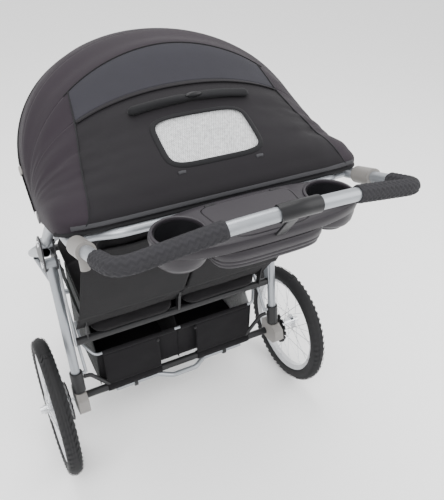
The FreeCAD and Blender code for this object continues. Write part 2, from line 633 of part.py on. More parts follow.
link_foot = V(link_x, D.link_foot_y, axle_z + 97.5)
link_way = (link_top - link_foot).normalize()
link_bar = Part.makeCylinder(D.link_r, (link_top - link_foot).Length, link_foot, link_way)
link_pin = Part.makeCylinder(D.link_pin_r, 9.6, V(link_foot.x, link_foot.y, link_foot.z + 2), V(1, 0, 0))
node("link_rods", both(shaped(link_bar.fuse(link_pin).removeSplitter())))


def on_link(z):
    """Point of the link rod's line at a height."""
    return link_foot + link_way * ((z - link_foot.z) / link_way.z)


tie = on_link(407)
wire_x = tie.x - D.link_r - D.wire_r
hem_z = D.basket_rear_z + D.wire_r + 0.5
side_points = [(wire_x, tie.y, tie.z), (wire_x - 3, tie.y + 34, 348),
               (wire_x - 26, D.basket_rear_y - 1.4, hem_z)]
wire_points = side_points + [(-x, y, z) for x, y, z in reversed(side_points)]
node("basket_wire", tube(wire_points, 22, D.wire_r - 0.3))


def basket():
    """Open-topped fabric box with a middle divider."""
    y0, y1 = D.basket_front_y, D.basket_rear_y
    z0, zf, zr = D.basket_floor_z, D.basket_front_z, D.basket_rear_z
    w, t = half - D.basket_inset, D.basket_wall

    def prism(outline, x):
        face = Part.Face(Part.makePolygon([V(-x, y, z) for y, z in outline + outline[:1]]))
        return face.extrude(V(2 * x, 0, 0))

    outer = prism([(y0, z0 + 30), (y0 + 40, z0), (y1, z0), (y1, zr), (y0, zf)], w)
    floor = [(y0 + t, z0 + 30 + t), (y0 + 40 + t, z0 + t), (y1 - t, z0 + t)]
    inner = prism(floor + [(y1 - t, zr + 40), (y0 + t, zf + 40)], w - t)
    divider = prism(floor + [(y1 - t, zr - 14), (y0 + t, zf - 60)], t / 2)
    return outer.cut(inner).fuse(divider).removeSplitter()


node("storage_basket", shaped(basket()))

crank = D.brake_crank_half
crank_points = [(-D.brake_bar_half, brake_y, brake_z), (-crank - 34, brake_y, brake_z),
                (8 - crank, D.brake_crank_y, brake_z + 2)]
brake_points = crank_points + [(-x, y, z) for x, y, z in reversed(crank_points)]
node("brake_bar", tube(brake_points, 28, D.brake_bar_r, D.brake_bar_wall))

# ---------------------------------------------------------------- upper frame and handle
hinge = V(half, D.hinge_y, D.hinge_z)
upper_path = [V(half, 100, 862), V(half, 247, 894), V(half - 9, 396, 946)]
up_way = (upper_path[0] - hinge).normalize()
slope = (upper_path[2] - upper_path[1])
collar_at = upper_path[1] + slope * ((D.collar_y - upper_path[1].y) / slope.y)
collar_way = V(slope.x, slope.y, slope.z).normalize()
low_path = rounded_path([hinge + up_way * 6, upper_path[0], upper_path[1], collar_at - collar_way * 0.3],
                        [160, 200])
upper = swept(low_path, D.main_tube_r, D.tube_wall)
eye = Part.makeCylinder(D.eye_r, 2 * D.main_tube_r, V(half - D.main_tube_r, hinge.y, hinge.z), V(1, 0, 0))
bolt_hole = Part.makeCylinder(D.hinge_bolt_r + D.running_gap, 60, V(half - 30, hinge.y, hinge.z), V(1, 0, 0))
upper = upper.fuse(eye).cut(bolt_hole)
node("upper_tubes", both(shaped(upper)))

corner = V(half - 18, 478, 975)
inner_end = V(D.grip_end_x, 502, 1012)
side_points = [collar_at + collar_way * 0.3, upper_path[2], corner, inner_end]
handle_points = side_points + [V(0, D.handle_top_y, D.handle_top_z)]
handle_points += [V(-p.x, p.y, p.z) for p in reversed(side_points)]
handle_path = rounded_path(handle_points, [400, D.handle_bend, 300, 500, 300, D.handle_bend, 400])
node("handle_bar", shaped(swept(handle_path, D.main_tube_r, D.tube_wall)))
grip_path = rounded_path([upper_path[2], corner, inner_end], D.handle_bend)
grip = swept(grip_path, D.grip_r).cut(swept(handle_path, D.main_tube_r + 0.05))
node("foam_grips", both(shaped(grip)))

side_points = [(half - D.main_tube_r - 0.9, D.crossbar_end_y, D.crossbar_end_z),
               (half - 37, D.crossbar_end_y, D.crossbar_end_z), (half - 83, D.crossbar_y, D.crossbar_z)]
crossbar_points = side_points + [(-x, y, z) for x, y, z in reversed(side_points)]
node("crossbar", tube(crossbar_points, [50, 60, 60, 50], D.cross_tube_r, D.tube_wall))

for name, sign in (("left", 1), ("right", -1)):
    at = V(sign * collar_at.x, collar_at.y, collar_at.z)
    way = V(sign * collar_way.x, collar_way.y, collar_way.z)
    start = at - way * (D.collar_length / 2)
    ring = Part.makeCylinder(D.collar_r, D.collar_length, start, way)
    tail = Part.makeCylinder(9, 30, at + way * 2 - V(0, 0, 12), V(0, 0.25, -1)).common(
        Part.makeBox(60, 70, 70, V(at.x - 30, at.y - 20, at.z - 60)))
    collar = ring.fuse(tail).cut(Part.makeCylinder(D.main_tube_r + D.slide_gap, 120, at - way * 60, way))
    node(f"release_collar_{name}", shaped(collar.removeSplitter()))

# ---------------------------------------------------------------- parent tray
def tray():
    """Deep tray with a cup well at each end and a storage box between them."""
    bottom = D.tray_top_z - D.tray_depth
    lid_half = D.lid_half_length
    side = D.cup_x - D.cup_r - D.cup_wall + 4
    long_way = D.tray_back_y - D.tray_front_y
    shape = Part.makeBox(2 * side, long_way, D.tray_depth, V(-side, D.tray_front_y, bottom))
    for sign in (1, -1):
        shape = shape.fuse(Part.makeCylinder(D.cup_r + D.cup_wall, D.cup_depth + 4,
                                             V(sign * D.cup_x, D.cup_y, D.cup_rim_z - D.cup_depth - 4)))
    inner = Part.makeBox(2 * lid_half, long_way - 2 * D.tray_wall - 12, D.tray_depth,
                         V(-lid_half, D.tray_front_y + D.tray_wall + 6, bottom + D.tray_wall))
    shape = shape.cut(inner)
    rebate_z = D.tray_top_z - D.lid_thickness - D.lid_gap
    rebate = Part.makeBox(2 * lid_half + 2, long_way - 2 * D.tray_wall - 6, 20,
                          V(-lid_half - 1, D.tray_front_y + D.tray_wall + 3, rebate_z))
    shape = shape.cut(rebate)
    for sign in (1, -1):
        shape = shape.cut(Part.makeCylinder(D.cup_r + 0.1, D.cup_depth + 20,
                                            V(sign * D.cup_x, D.cup_y, D.cup_rim_z - D.cup_depth)))
    return shape.removeSplitter()


node("tray_body", shaped(tray()))
liner_z = D.cup_rim_z - D.cup_depth + 0.1
liner = cut(rod("cup_r", "cup_depth", (D.cup_x, D.cup_y, liner_z)),
            rod("cup_r - liner_wall", "cup_depth", (D.cup_x, D.cup_y, liner_z + D.liner_wall)))
node("cup_liners", both(liner))
lid_hinge_y = D.tray_front_y + D.tray_wall + 6
lid_depth = D.tray_back_y - D.tray_wall - 4 - lid_hinge_y
lid = fuse(block("lid_half_length + lid_half_length", str(lid_depth), "lid_thickness",
                 (-D.lid_half_length, lid_hinge_y, D.tray_top_z - D.lid_thickness)),
           rod("lid_thickness / 2", "lid_half_length + lid_half_length",
               (-D.lid_half_length, lid_hinge_y, D.tray_top_z - D.lid_thickness / 2), (1, 0, 0)))
node("tray_lid", lid)
clip_at = V(0, D.handle_top_y, D.handle_top_z)


def clip():
    """Shell that holds the tray to the middle of the handle, with a tongue down to the tray."""
    y, z = clip_at.y - D.clip_set, clip_at.z - D.clip_set
    shell = Part.makeCylinder(D.main_tube_r + D.clip_wall, 2 * D.clip_half, V(-D.clip_half, y, z), V(1, 0, 0))
    tongue = Part.makeBox(60, 42, 10, V(-30, D.tray_back_y - 2, D.tray_top_z - 14))
    outline = [(D.tray_back_y + 14, D.tray_top_z - 8), (y + 8, z - 10),
               (y - 10, z - 6), (D.tray_back_y + 2, D.tray_top_z - 6)]
    web = Part.Face(Part.makePolygon([V(-30, *corner) for corner in outline + outline[:1]]))
    web = web.extrude(V(60, 0, 0))
    tongue = tongue.common(Part.makeBox(60, 20, 30, V(-30, D.tray_back_y + 0.3, D.tray_top_z - 20)))
    shape = shell.fuse([tongue, web])
    return shape.cut(swept(handle_path, D.main_tube_r + 0.3)).removeSplitter()


node("tray_clip", shaped(clip()))


# ---------------------------------------------------------------- canopy
py, pz = D.canopy_pivot_y, D.canopy_pivot_z
tube_side = half + D.main_tube_r
bow_step = D.bow_thickness + D.bow_gap


def arch(width, reach, spring, angle):
    """A bow's line in its plane: straight arms from the pivots, then half an ellipse."""
    a = math.radians(angle)
    along, up = V(0, math.cos(a), math.sin(a)), V(0, 0, 0)
    centre = V(0, py, pz) + along * spring
    height = reach - spring
    left, right = centre + V(width, 0, 0), centre - V(width, 0, 0)
    tip = centre + along * height
    if width >= height:
        ellipse = Part.Ellipse(left, tip, centre)
    else:
        ellipse = Part.Ellipse(tip, left, centre)
    curve = Part.ArcOfEllipse(ellipse, ellipse.parameter(left), ellipse.parameter(right))
    middle = curve.value((curve.FirstParameter + curve.LastParameter) / 2)
    if (middle - tip).Length > 1:
        curve = Part.ArcOfEllipse(ellipse, ellipse.parameter(right), ellipse.parameter(left))
    arms = [Part.LineSegment(V(width, py, pz), left).toShape(),
            Part.LineSegment(right, V(-width, py, pz)).toShape()]
    return Part.Wire(Part.__sortEdges__([arms[0], curve.toShape(), arms[1]]))


def bow(width, reach, spring, angle):
    """Flat strip bent to the arch, with a pierced disc at each pivot."""
    path = arch(width, reach, spring, angle)
    a = math.radians(angle)
    across = V(0, -math.sin(a), math.cos(a)) * (D.bow_width / 2)
    first = path.Edges[0].valueAt(path.Edges[0].FirstParameter)
    out = V(D.bow_thickness / 2, 0, 0)
    corners = [first + across + out, first - across + out, first - across - out, first + across - out]
    profile = Part.makePolygon(corners + corners[:1])
    maker = Part.BRepOffsetAPI.MakePipeShell(path)
    maker.setBiNormalMode(across)
    maker.add(profile)
    maker.build()
    maker.makeSolid()
    strip = maker.shape()
    for sign in (1, -1):
        centre = V(sign * width - D.bow_thickness / 2, py, pz)
        strip = strip.fuse(Part.makeCylinder(D.canopy_disc_r, D.bow_thickness, centre, V(1, 0, 0)))
    for sign in (1, -1):
        centre = V(sign * width - 10, py, pz)
        strip = strip.cut(Part.makeCylinder(D.canopy_pin_r + D.running_gap, 20, centre, V(1, 0, 0)))
    return shaped(strip.removeSplitter())


bow_x = [tube_side + D.bow_side_gap + D.bow_thickness / 2 + i * bow_step for i in range(3)]
spring_of = {"mid": 38.0, "top": 76.0, "visor": 96.0}
node("canopy_bow_mid", bow(bow_x[0], D.mid_reach - D.mid_set, spring_of["mid"], D.mid_angle))
node("canopy_bow_top", bow(bow_x[1], D.top_reach, spring_of["top"], D.top_angle))
node("canopy_bow_visor", bow(bow_x[2], D.visor_reach - D.visor_set, spring_of["visor"], D.visor_angle - 1.2))
pin_length = D.bow_side_gap + 3 * bow_step + 2.6
saddle = Part.makeCylinder(D.saddle_r, tube_side + 0.9 - half + 10, V(half - 10, py, pz), V(1, 0, 0))
saddle = shaped(saddle.cut(swept(low_path, D.main_tube_r + 0.05)))
pivot = fuse(saddle, rod("canopy_pin_r", str(pin_length), (tube_side - 0.5, py, pz), (1, 0, 0)),
             rod("pin_head_r", "pin_head", (tube_side - 0.5 + pin_length, py, pz), (1, 0, 0)))
node("canopy_pivots", both(pivot))

fabric_half = bow_x[2] + D.bow_thickness / 2 + 0.6


def fabric_curve(reach, spring, exponent, angle, grow):
    """A canopy section in its plane, from one side to the other."""
    points = []
    steps = 24
    width = fabric_half + grow
    for i in range(steps + 1):
        t = math.pi * i / steps
        c, s = math.cos(t), math.sin(t)
        x = width * math.copysign(abs(c) ** (2 / exponent), c)
        r = spring + (reach + grow - spring) * abs(s) ** (2 / exponent)
        points.append(on_plane(x, angle, r, py, pz))
    line = Part.BSplineCurve()
    line.interpolate(points)
    return line.toShape()


def fabric_panel(stations):
    """Closed cloth panel between bows: an outer and an inner curve at each station."""
    rings = []
    for angle, reach, spring, exponent in stations:
        outer = fabric_curve(reach, spring, exponent, angle, D.fabric_clear + D.fabric)
        inner = fabric_curve(reach, spring, exponent, angle, D.fabric_clear)
        last = [curve.valueAt(curve.LastParameter) for curve in (outer, inner)]
        first = [curve.valueAt(curve.FirstParameter) for curve in (inner, outer)]
        hems = [Part.LineSegment(*ends).toShape() for ends in (last, first)]
        rings.append(Part.Wire([outer, hems[0], inner, hems[1]]))
    return shaped(Part.makeLoft(rings, True, True))


panel_gap = 0.25
# each station: angle, reach at the middle, height of the straight sides, roundness
node("canopy_rear_panel", fabric_panel([
    (D.hem_angle, D.hem_reach, 40, 7.5), (23, 207, 41, 7.0), (30, 201, 42, 5.5), (42, 192, 43, 3.2),
    (59, 182, 42, 2.5), (76, 185, 40, 2.2), (88, 201, 38, 2.1),
    (D.mid_angle - panel_gap, D.mid_reach, spring_of["mid"], 2.1)]))
node("canopy_top_panel", fabric_panel([
    (D.mid_angle + panel_gap, D.mid_reach, spring_of["mid"], 2.1), (115, 309, 40, 1.9),
    (123, 341, 58, 1.95), (D.top_angle - panel_gap, D.top_reach, spring_of["top"], 2.05)]))
node("canopy_visor_panel", fabric_panel([
    (D.top_angle + panel_gap, D.top_reach, spring_of["top"], 2.05), (139, 415, 88, 2.0),
    (D.visor_angle, D.visor_reach, spring_of["visor"], 2.0)]))

# ---------------------------------------------------------------- place, test and write
doc.recompute()
front_end = -D.front_wheel_back - D.front_tyre_outer_r
back_end = D.handle_top_y - D.clip_set + D.main_tube_r + D.clip_wall
shift = V(0, -(front_end + back_end) / 2, 0)
bad = []
for name, piece in nodes.items():
    place = FreeCAD.Placement(shift, FreeCAD.Rotation())
    piece.Placement = place.multiply(piece.Placement)
doc.recompute()
for thing in doc.Objects:
    if "Invalid" in thing.State or "Error" in thing.State:
        bad.append(f"{thing.Name} {thing.Label} {thing.State}")
for name, piece in nodes.items():
    if piece.Shape.isNull() or not piece.Shape.isValid() or not piece.Shape.Solids:
        bad.append(f"{name}: no valid solid")
if bad:
    print("\n".join(bad))
    sys.exit(1)
for name, piece in nodes.items():
    piece.Shape.exportStep(f"parts/{name}.step")
print(len(nodes), "nodes, shift", round(shift.y, 2))
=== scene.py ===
import math

import bmesh
import bpy
from mathutils import Matrix, Vector, noise


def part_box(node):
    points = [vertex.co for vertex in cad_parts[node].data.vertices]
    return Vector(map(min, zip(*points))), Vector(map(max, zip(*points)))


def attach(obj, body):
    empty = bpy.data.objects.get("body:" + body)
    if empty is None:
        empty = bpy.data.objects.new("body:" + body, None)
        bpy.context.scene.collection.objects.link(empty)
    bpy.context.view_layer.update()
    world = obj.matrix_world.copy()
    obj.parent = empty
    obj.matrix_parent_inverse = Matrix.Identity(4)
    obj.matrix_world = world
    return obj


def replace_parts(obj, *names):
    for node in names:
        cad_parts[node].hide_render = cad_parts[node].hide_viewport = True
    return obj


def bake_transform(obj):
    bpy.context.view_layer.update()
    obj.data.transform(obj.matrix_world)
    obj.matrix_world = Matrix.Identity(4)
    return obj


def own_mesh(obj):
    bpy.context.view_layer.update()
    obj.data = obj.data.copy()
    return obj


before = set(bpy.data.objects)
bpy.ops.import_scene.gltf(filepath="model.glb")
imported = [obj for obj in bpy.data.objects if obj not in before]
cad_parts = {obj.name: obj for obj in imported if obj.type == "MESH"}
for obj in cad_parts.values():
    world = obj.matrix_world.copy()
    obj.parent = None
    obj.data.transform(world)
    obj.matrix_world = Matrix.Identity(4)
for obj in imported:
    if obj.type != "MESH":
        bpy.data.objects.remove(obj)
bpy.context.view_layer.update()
scene = bpy.context.scene

# Side-by-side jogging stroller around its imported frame: cloth, pads, tyres, grips, tray and finishes.
# Pieces are laid out in millimetres from the middle of the rear axle, +X to the riders' left, +Y backwards
# and +Z up, and PLACE takes them to the frame's metres.
rim_low, rim_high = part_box("left_rim")
AXLE = (rim_low + rim_high) / 2
PLACE = Matrix.Translation((0, AXLE.y, 0)) @ Matrix.Scale(0.001, 4)

# ------------------------------------------------------------ sizes, in millimetres
WHEEL_X = 388.0
AXLE_Z = 199.5
REAR_TYRE = dict(outer=199.5, section=23.0)
FRONT_TYRE = dict(outer=153.0, section=24.0)
FRONT_AXLE = (0.0, -640.0, 153.0)
PIVOT = Vector((0, 85, 862))
CLOTH_HALF = 351.0
HEM, BAND, SEAM, CREST, VISOR = 17.0, 101.0, 115.0, 130.0, 148.0
PANEL_EDGES = (HEM, BAND, SEAM, CREST, VISOR)
# Canopy stations: angle up from straight back, reach at the middle, reach at the sides, roundness.
STATIONS = [(17, 204, 40, 7.5), (23, 212, 41, 7.0), (30, 206, 42, 5.5), (42, 197, 43, 3.2),
            (59, 187, 42, 2.5), (76, 190, 40, 2.2), (88, 206, 38, 2.1), (101, 230, 38, 2.1),
            (115, 314, 40, 1.9), (123, 346, 58, 1.95), (130, 377, 76, 2.05), (139, 420, 88, 2.0),
            (148, 455, 96, 2.0)]
HANDLE = [Vector(p) for p in ((318.7, 318, 919), (314, 396, 946), (305, 478, 975), (128, 502, 1012),
                              (0, 515, 1025))]
HANDLE_BEND = 62.0
SEAT_X, SEAT_HALF = 136.0, 131.0


# ------------------------------------------------------------ finishes
def shared_effect(name, inputs, output, build):
    """A shader node group: named number inputs and one output that changes over the surface."""
    tree = bpy.data.node_groups.new(name, "ShaderNodeTree")
    for label, value in inputs.items():
        socket = tree.interface.new_socket(label, in_out="INPUT", socket_type="NodeSocketFloat")
        socket.default_value = value
    tree.interface.new_socket(output, in_out="OUTPUT", socket_type="NodeSocketFloat")
    entry, leave = tree.nodes.new("NodeGroupInput"), tree.nodes.new("NodeGroupOutput")
    where = tree.nodes.new("ShaderNodeTexCoord")
    tree.links.new(build(tree, entry, where.outputs["Object"]), leave.inputs[output])
    return tree


def noise_node(tree, where, scale, detail=2.0):
    """Noise over the object; scale is a socket or a number of grains to the metre."""
    grains = tree.nodes.new("ShaderNodeTexNoise")
    grains.inputs["Detail"].default_value = detail
    tree.links.new(where, grains.inputs["Vector"])
    if isinstance(scale, (int, float)):
        grains.inputs["Scale"].default_value = scale
    else:
        tree.links.new(scale, grains.inputs["Scale"])
    return grains.outputs["Fac"]


def maths(tree, kind, first, second):
    """One maths node; each side is a socket or a number."""
    sums = tree.nodes.new("ShaderNodeMath")
    sums.operation = kind
    for slot, value in zip(sums.inputs, (first, second)):
        if isinstance(value, (int, float)):
            slot.default_value = value
        else:
            tree.links.new(value, slot)
    return sums.outputs[0]


def build_mottle(tree, entry, where):
    """Slow patches with finer ones over them, from 0 to 1."""
    broad = noise_node(tree, where, entry.outputs["Patches"], 1.0)
    finer = maths(tree, "MULTIPLY", entry.outputs["Patches"], 7.3)
    fine = noise_node(tree, where, finer, 4.0)
    both = maths(tree, "ADD", maths(tree, "MULTIPLY", broad, 0.6), maths(tree, "MULTIPLY", fine, 0.4))
    spread = maths(tree, "MULTIPLY", maths(tree, "SUBTRACT", both, 0.5), 2.2)
    clear = tree.nodes.new("ShaderNodeClamp")
    tree.links.new(maths(tree, "ADD", spread, 0.5), clear.inputs["Value"])
    return clear.outputs[0]


def build_grain(tree, entry, where):
    """Fine pebbled skin of moulded plastic, foam or powder coat."""
    return noise_node(tree, where, entry.outputs["Grains"], 2.0)


def build_weave(tree, entry, where):
    """Threads that cross over and under, with a little slub."""
    split = tree.nodes.new("ShaderNodeSeparateXYZ")
    tree.links.new(where, split.inputs[0])
    slant = maths(tree, "ADD", split.outputs["Y"], split.outputs["Z"])
    warp = maths(tree, "SINE", maths(tree, "MULTIPLY", split.outputs["X"], entry.outputs["Threads"]), 0.0)
    weft = maths(tree, "SINE", maths(tree, "MULTIPLY", slant, entry.outputs["Threads"]), 0.0)
    crossed = maths(tree, "MULTIPLY", warp, weft)
    slub = noise_node(tree, where, 160.0, 3.0)
    return maths(tree, "ADD", maths(tree, "MULTIPLY", crossed, 0.35), slub)


EFFECTS = {
    "mottle": shared_effect("mottled_tone", {"Patches": 8.0}, "Tone", build_mottle),
    "grain": shared_effect("moulded_grain", {"Grains": 900.0}, "Height", build_grain),
    "weave": shared_effect("crossed_threads", {"Threads": 4200.0}, "Height", build_weave),
}
EFFECT_INPUT = {"grain": "Grains", "weave": "Threads"}


def finish(name, colour, rough, tone=0.12, patches=8.0, texture="grain", fineness=900.0, depth=0.15,
           height=0.4, woven_tone=False, **shader):
    """A material: mottled colour, roughness that varies with it, and a fine relief height mm high.

    The colour follows the relief instead where woven_tone is set, as on open mesh.
    """
    material = bpy.data.materials.new(name)
    material.use_nodes = True
    tree = material.node_tree
    skin = tree.nodes["Principled BSDF"]
    for socket, value in shader.items():
        skin.inputs[socket.replace("_", " ").title().replace("Ior", "IOR")].default_value = value
    mottle = tree.nodes.new("ShaderNodeGroup")
    mottle.node_tree = EFFECTS["mottle"]
    mottle.inputs["Patches"].default_value = patches
    blend = tree.nodes.new("ShaderNodeMix")
    blend.data_type = "RGBA"
    blend.inputs[6].default_value = [c * (1 - tone) for c in colour] + [1]
    blend.inputs[7].default_value = [min(1, c * (1 + tone)) for c in colour] + [1]
    tree.links.new(blend.outputs[2], skin.inputs["Base Color"])
    shine = maths(tree, "MULTIPLY", mottle.outputs["Tone"], 0.14)
    tree.links.new(maths(tree, "ADD", shine, rough - 0.07), skin.inputs["Roughness"])
    relief = tree.nodes.new("ShaderNodeGroup")
    relief.node_tree = EFFECTS[texture]
    relief.inputs[EFFECT_INPUT[texture]].default_value = fineness
    tone_from = relief.outputs["Height"] if woven_tone else mottle.outputs["Tone"]
    tree.links.new(tone_from, blend.inputs[0])
    bump = tree.nodes.new("ShaderNodeBump")
    bump.inputs["Strength"].default_value = depth
    bump.inputs["Distance"].default_value = height * 0.001
    tree.links.new(relief.outputs["Height"], bump.inputs["Height"])
    tree.links.new(bump.outputs["Normal"], skin.inputs["Normal"])
    return material


def cloth_finish(name, colour, tone=0.16, sheen=0.03, **more):
    """Woven polyester: matt, with a soft sheen towards its edges."""
    values = dict(rough=0.82, patches=5.0, texture="weave", fineness=4200.0, depth=0.5, height=0.35)
    values.update(more)
    return finish(name, colour, tone=tone, sheen_weight=sheen, sheen_roughness=0.5, specular_ior_level=0.18,
                  **values)


silver = finish("silver_powder_coat", (0.30, 0.315, 0.335), 0.38, metallic=0.7, tone=0.05,
                fineness=1500.0, depth=0.08)
black_coat = finish("black_powder_coat", (0.010, 0.010, 0.011), 0.42, specular_ior_level=0.35,
                    fineness=1400.0, depth=0.12)
bright = finish("polished_metal", (0.72, 0.73, 0.75), 0.2, metallic=1.0, tone=0.06, depth=0.03)
rim_silver = finish("brushed_rim", (0.60, 0.61, 0.63), 0.28, metallic=0.95, tone=0.06, depth=0.05)
hinge_black = finish("dark_cast_plate", (0.022, 0.022, 0.024), 0.45, tone=0.15, specular_ior_level=0.3)
plate_grey = finish("grey_cast_plastic", (0.22, 0.21, 0.20), 0.5, tone=0.1, depth=0.25)
collar_grey = finish("warm_grey_plastic", (0.15, 0.143, 0.135), 0.42, tone=0.05, depth=0.15)
black_plastic = finish("black_moulding", (0.006, 0.006, 0.007), 0.4, specular_ior_level=0.28,
                       tone=0.2, depth=0.2)
tray_plastic = finish("charcoal_moulding", (0.017, 0.0145, 0.018), 0.42, specular_ior_level=0.3,
                      tone=0.07, fineness=1200.0, depth=0.22)
rubber = finish("tyre_rubber", (0.011, 0.011, 0.012), 0.75, specular_ior_level=0.35, tone=0.25,
                patches=14.0, depth=0.3)
foam = finish("grip_foam", (0.016, 0.0155, 0.018), 0.85, specular_ior_level=0.3, tone=0.2,
              patches=30.0, fineness=600.0, depth=0.5)
cover_rear = cloth_finish("canopy_cloth_rear", (0.0085, 0.0075, 0.009))
cover_lens = cloth_finish("canopy_cloth_lens", (0.020, 0.0195, 0.0245))
cover_front = cloth_finish("canopy_cloth_front", (0.0155, 0.0115, 0.0155))
cover_edge = cloth_finish("canopy_binding", (0.008, 0.008, 0.009), fineness=2600.0)
hem_grey = cloth_finish("hem_tape", (0.035, 0.035, 0.038), fineness=2600.0)
seat_cloth = cloth_finish("seat_cloth", (0.0045, 0.004, 0.0048))
seat_panel = cloth_finish("seat_side_cloth", (0.007, 0.0085, 0.0085))
basket_cloth = cloth_finish("basket_cloth", (0.004, 0.0035, 0.0045))
webbing = cloth_finish("harness_webbing", (0.02, 0.02, 0.021), fineness=1800.0, depth=0.8)
OPEN_MESH = dict(fineness=1500.0, depth=0.9, sheen=0.0, woven_tone=True)
mesh_grey = cloth_finish("window_mesh", (0.40, 0.405, 0.41), tone=0.55, **OPEN_MESH)
mesh_white = cloth_finish("basket_mesh", (0.55, 0.555, 0.56), tone=0.4, **OPEN_MESH)
red = finish("red_button", (0.5, 0.03, 0.025), 0.25, tone=0.06, depth=0.05, coat_weight=0.4)

NODE_FINISH = {
    silver: ["front_tubes", "footrest_tube", "upper_tubes", "handle_bar", "crossbar", "rear_legs",
             "link_rods", "basket_wire", "brake_bar", "front_fork", "seat_hangers",
             "recline_rod_left", "recline_rod_right"],
    black_coat: ["seat_tubes", "axle_tube", "leg_sleeves", "canopy_bow_mid", "canopy_bow_top",
                 "canopy_bow_visor"],
    rim_silver: ["left_rim", "right_rim", "front_rim"],
    bright: ["left_spokes", "right_spokes", "front_spokes", "left_hub", "right_hub", "front_hub",
             "wheel_axles", "front_axle", "hinge_bolts"],
    plate_grey: ["axle_housings"],
    hinge_black: ["hinge_plates", "canopy_pivots"],
    collar_grey: ["release_collar_left", "release_collar_right"],
    black_plastic: ["steering_head", "swivel_lock_knob", "cup_liners", "left_brake_cog",
                    "right_brake_cog", "footrest_deck", "harness_buckles"],
    red: ["buckle_button_left", "buckle_button_right"],
}
for material, names in NODE_FINISH.items():
    for name in names:
        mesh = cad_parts[name].data
        mesh.materials.clear()
        mesh.materials.append(material)


# ------------------------------------------------------------ making pieces
# The finish slot that a piece of each material names, unless the piece says otherwise.
SLOT_OF = {
    "canopy_fabric": [cover_rear, cover_lens, cover_front, cover_edge, hem_grey, mesh_grey],
    "seat_fabric": [seat_cloth, seat_panel, webbing], "basket_fabric": [basket_cloth, mesh_white],
    "tray_plastic": [tray_plastic], "black_plastic": [black_plastic], "plate_grey": [plate_grey],
    "tyre": [rubber], "foam": [foam], "chrome": [bright],
}
SLOTS = {material: slot for slot, materials in SLOT_OF.items() for material in materials}


def mesh_of(name, bm):
    """The bmesh as a mesh; the bmesh is used up."""
    mesh = bpy.data.meshes.new(name)
    bm.to_mesh(mesh)
    bm.free()
    return mesh


def linked(name, data):
    """A new object of the scene with this data."""
    obj = bpy.data.objects.new(name, data)
    scene.collection.objects.link(obj)
    return obj


def placed(obj, body, slot):
    """Puts the object on the body that it rides on, unless body is None; slot is not used."""
    if body:
        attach(obj, body)
    return obj


def thicken(obj, label, thick, offset=-1.0):
    """A wall thick mm through, inwards from the surface, or astride it where offset is 0."""
    wall = obj.modifiers.new(label, "SOLIDIFY")
    wall.thickness = thick * 0.001
    wall.offset = offset


def rounded(bm, edges, offset, segments):
    """Rounds edges of the bmesh."""
    bmesh.ops.bevel(bm, geom=edges, offset=offset, segments=segments, profile=0.5, affect="EDGES", material=-1)


def on_side(point, side):
    """The point as given for the left side, mirrored for the right."""
    return point if side > 0 else mirror_x(point)


def piece(name, bm, material, body, sharp=38.0, closed=True, slot=None):
    """The object of a bmesh that is laid out in millimetres."""
    if closed:
        bmesh.ops.recalc_face_normals(bm, faces=bm.faces)
    bm.transform(PLACE)
    mesh = mesh_of(name, bm)
    mesh.materials.append(material)
    mesh.shade_smooth()
    mesh.set_sharp_from_angle(angle=math.radians(sharp))
    return placed(linked(name, mesh), body, slot or SLOTS[material])


def cord_piece(name, points, radius, material, body, sides=3):
    """A round cord, wire or piping along points, in millimetres."""
    curve = bpy.data.curves.new(name, "CURVE")
    curve.dimensions = "3D"
    curve.bevel_depth = radius * 0.001
    curve.bevel_resolution = sides
    curve.resolution_u = 4
    curve.use_fill_caps = True
    spline = curve.splines.new("NURBS")
    spline.points.add(len(points) - 1)
    for knot, point in zip(spline.points, points):
        knot.co = (*(PLACE @ Vector(point)), 1)
    spline.order_u = 3
    spline.use_endpoint_u = True
    curve.materials.append(material)
    return placed(linked(name, curve), body, SLOTS[material])


def grid(columns, rows, place, keep=None):
    """A sheet of squares; place(u, v) gives each corner's point and keep(u, v) says which squares stay."""
    bm = bmesh.new()
    bmesh.ops.create_grid(bm, x_segments=columns, y_segments=rows, size=0.5)
    flat = bm.loops.layers.uv.new("Flat")
    for face in bm.faces:
        for loop in face.loops:
            loop[flat].uv = (loop.vert.co.x + 0.5, loop.vert.co.y + 0.5)
    if keep:
        lost = [f for f in bm.faces if not keep(f.calc_center_median().x + 0.5, f.calc_center_median().y + 0.5)]
        bmesh.ops.delete(bm, geom=lost, context="FACES")
    for corner in bm.verts:
        corner.co = place(corner.co.x + 0.5, corner.co.y + 0.5)
    return bm


def cloth(name, columns, rows, place, material, body, thick=1.6, keep=None, outward=None, loop=False,
          slot=None):
    """A sheet of cloth with its thickness; its outer face looks away from the point outward."""
    bm = grid(columns, rows, place, keep)
    if loop:
        bmesh.ops.remove_doubles(bm, verts=bm.verts, dist=0.05)
    if outward is not None:
        bm.normal_update()
        facing = sum(f.normal.dot(f.calc_center_median() - Vector(outward)) for f in bm.faces)
        if facing < 0:
            bmesh.ops.reverse_faces(bm, faces=bm.faces)
    obj = piece(name, bm, material, body, sharp=60.0, closed=False, slot=slot)
    thicken(obj, "Cloth thickness", thick)
    return obj


def bake_modifiers(obj):
    """Turns what the modifiers make into the object's own mesh."""
    bpy.context.view_layer.update()
    shaped = bpy.data.meshes.new_from_object(obj.evaluated_get(bpy.context.evaluated_depsgraph_get()))
    obj.modifiers.clear()
    obj.data = shaped


def mirror_x(point):
    """The same point on the other side of the stroller."""
    return Vector((-point[0], point[1], point[2]))


SIDES = (("left", 1), ("right", -1))


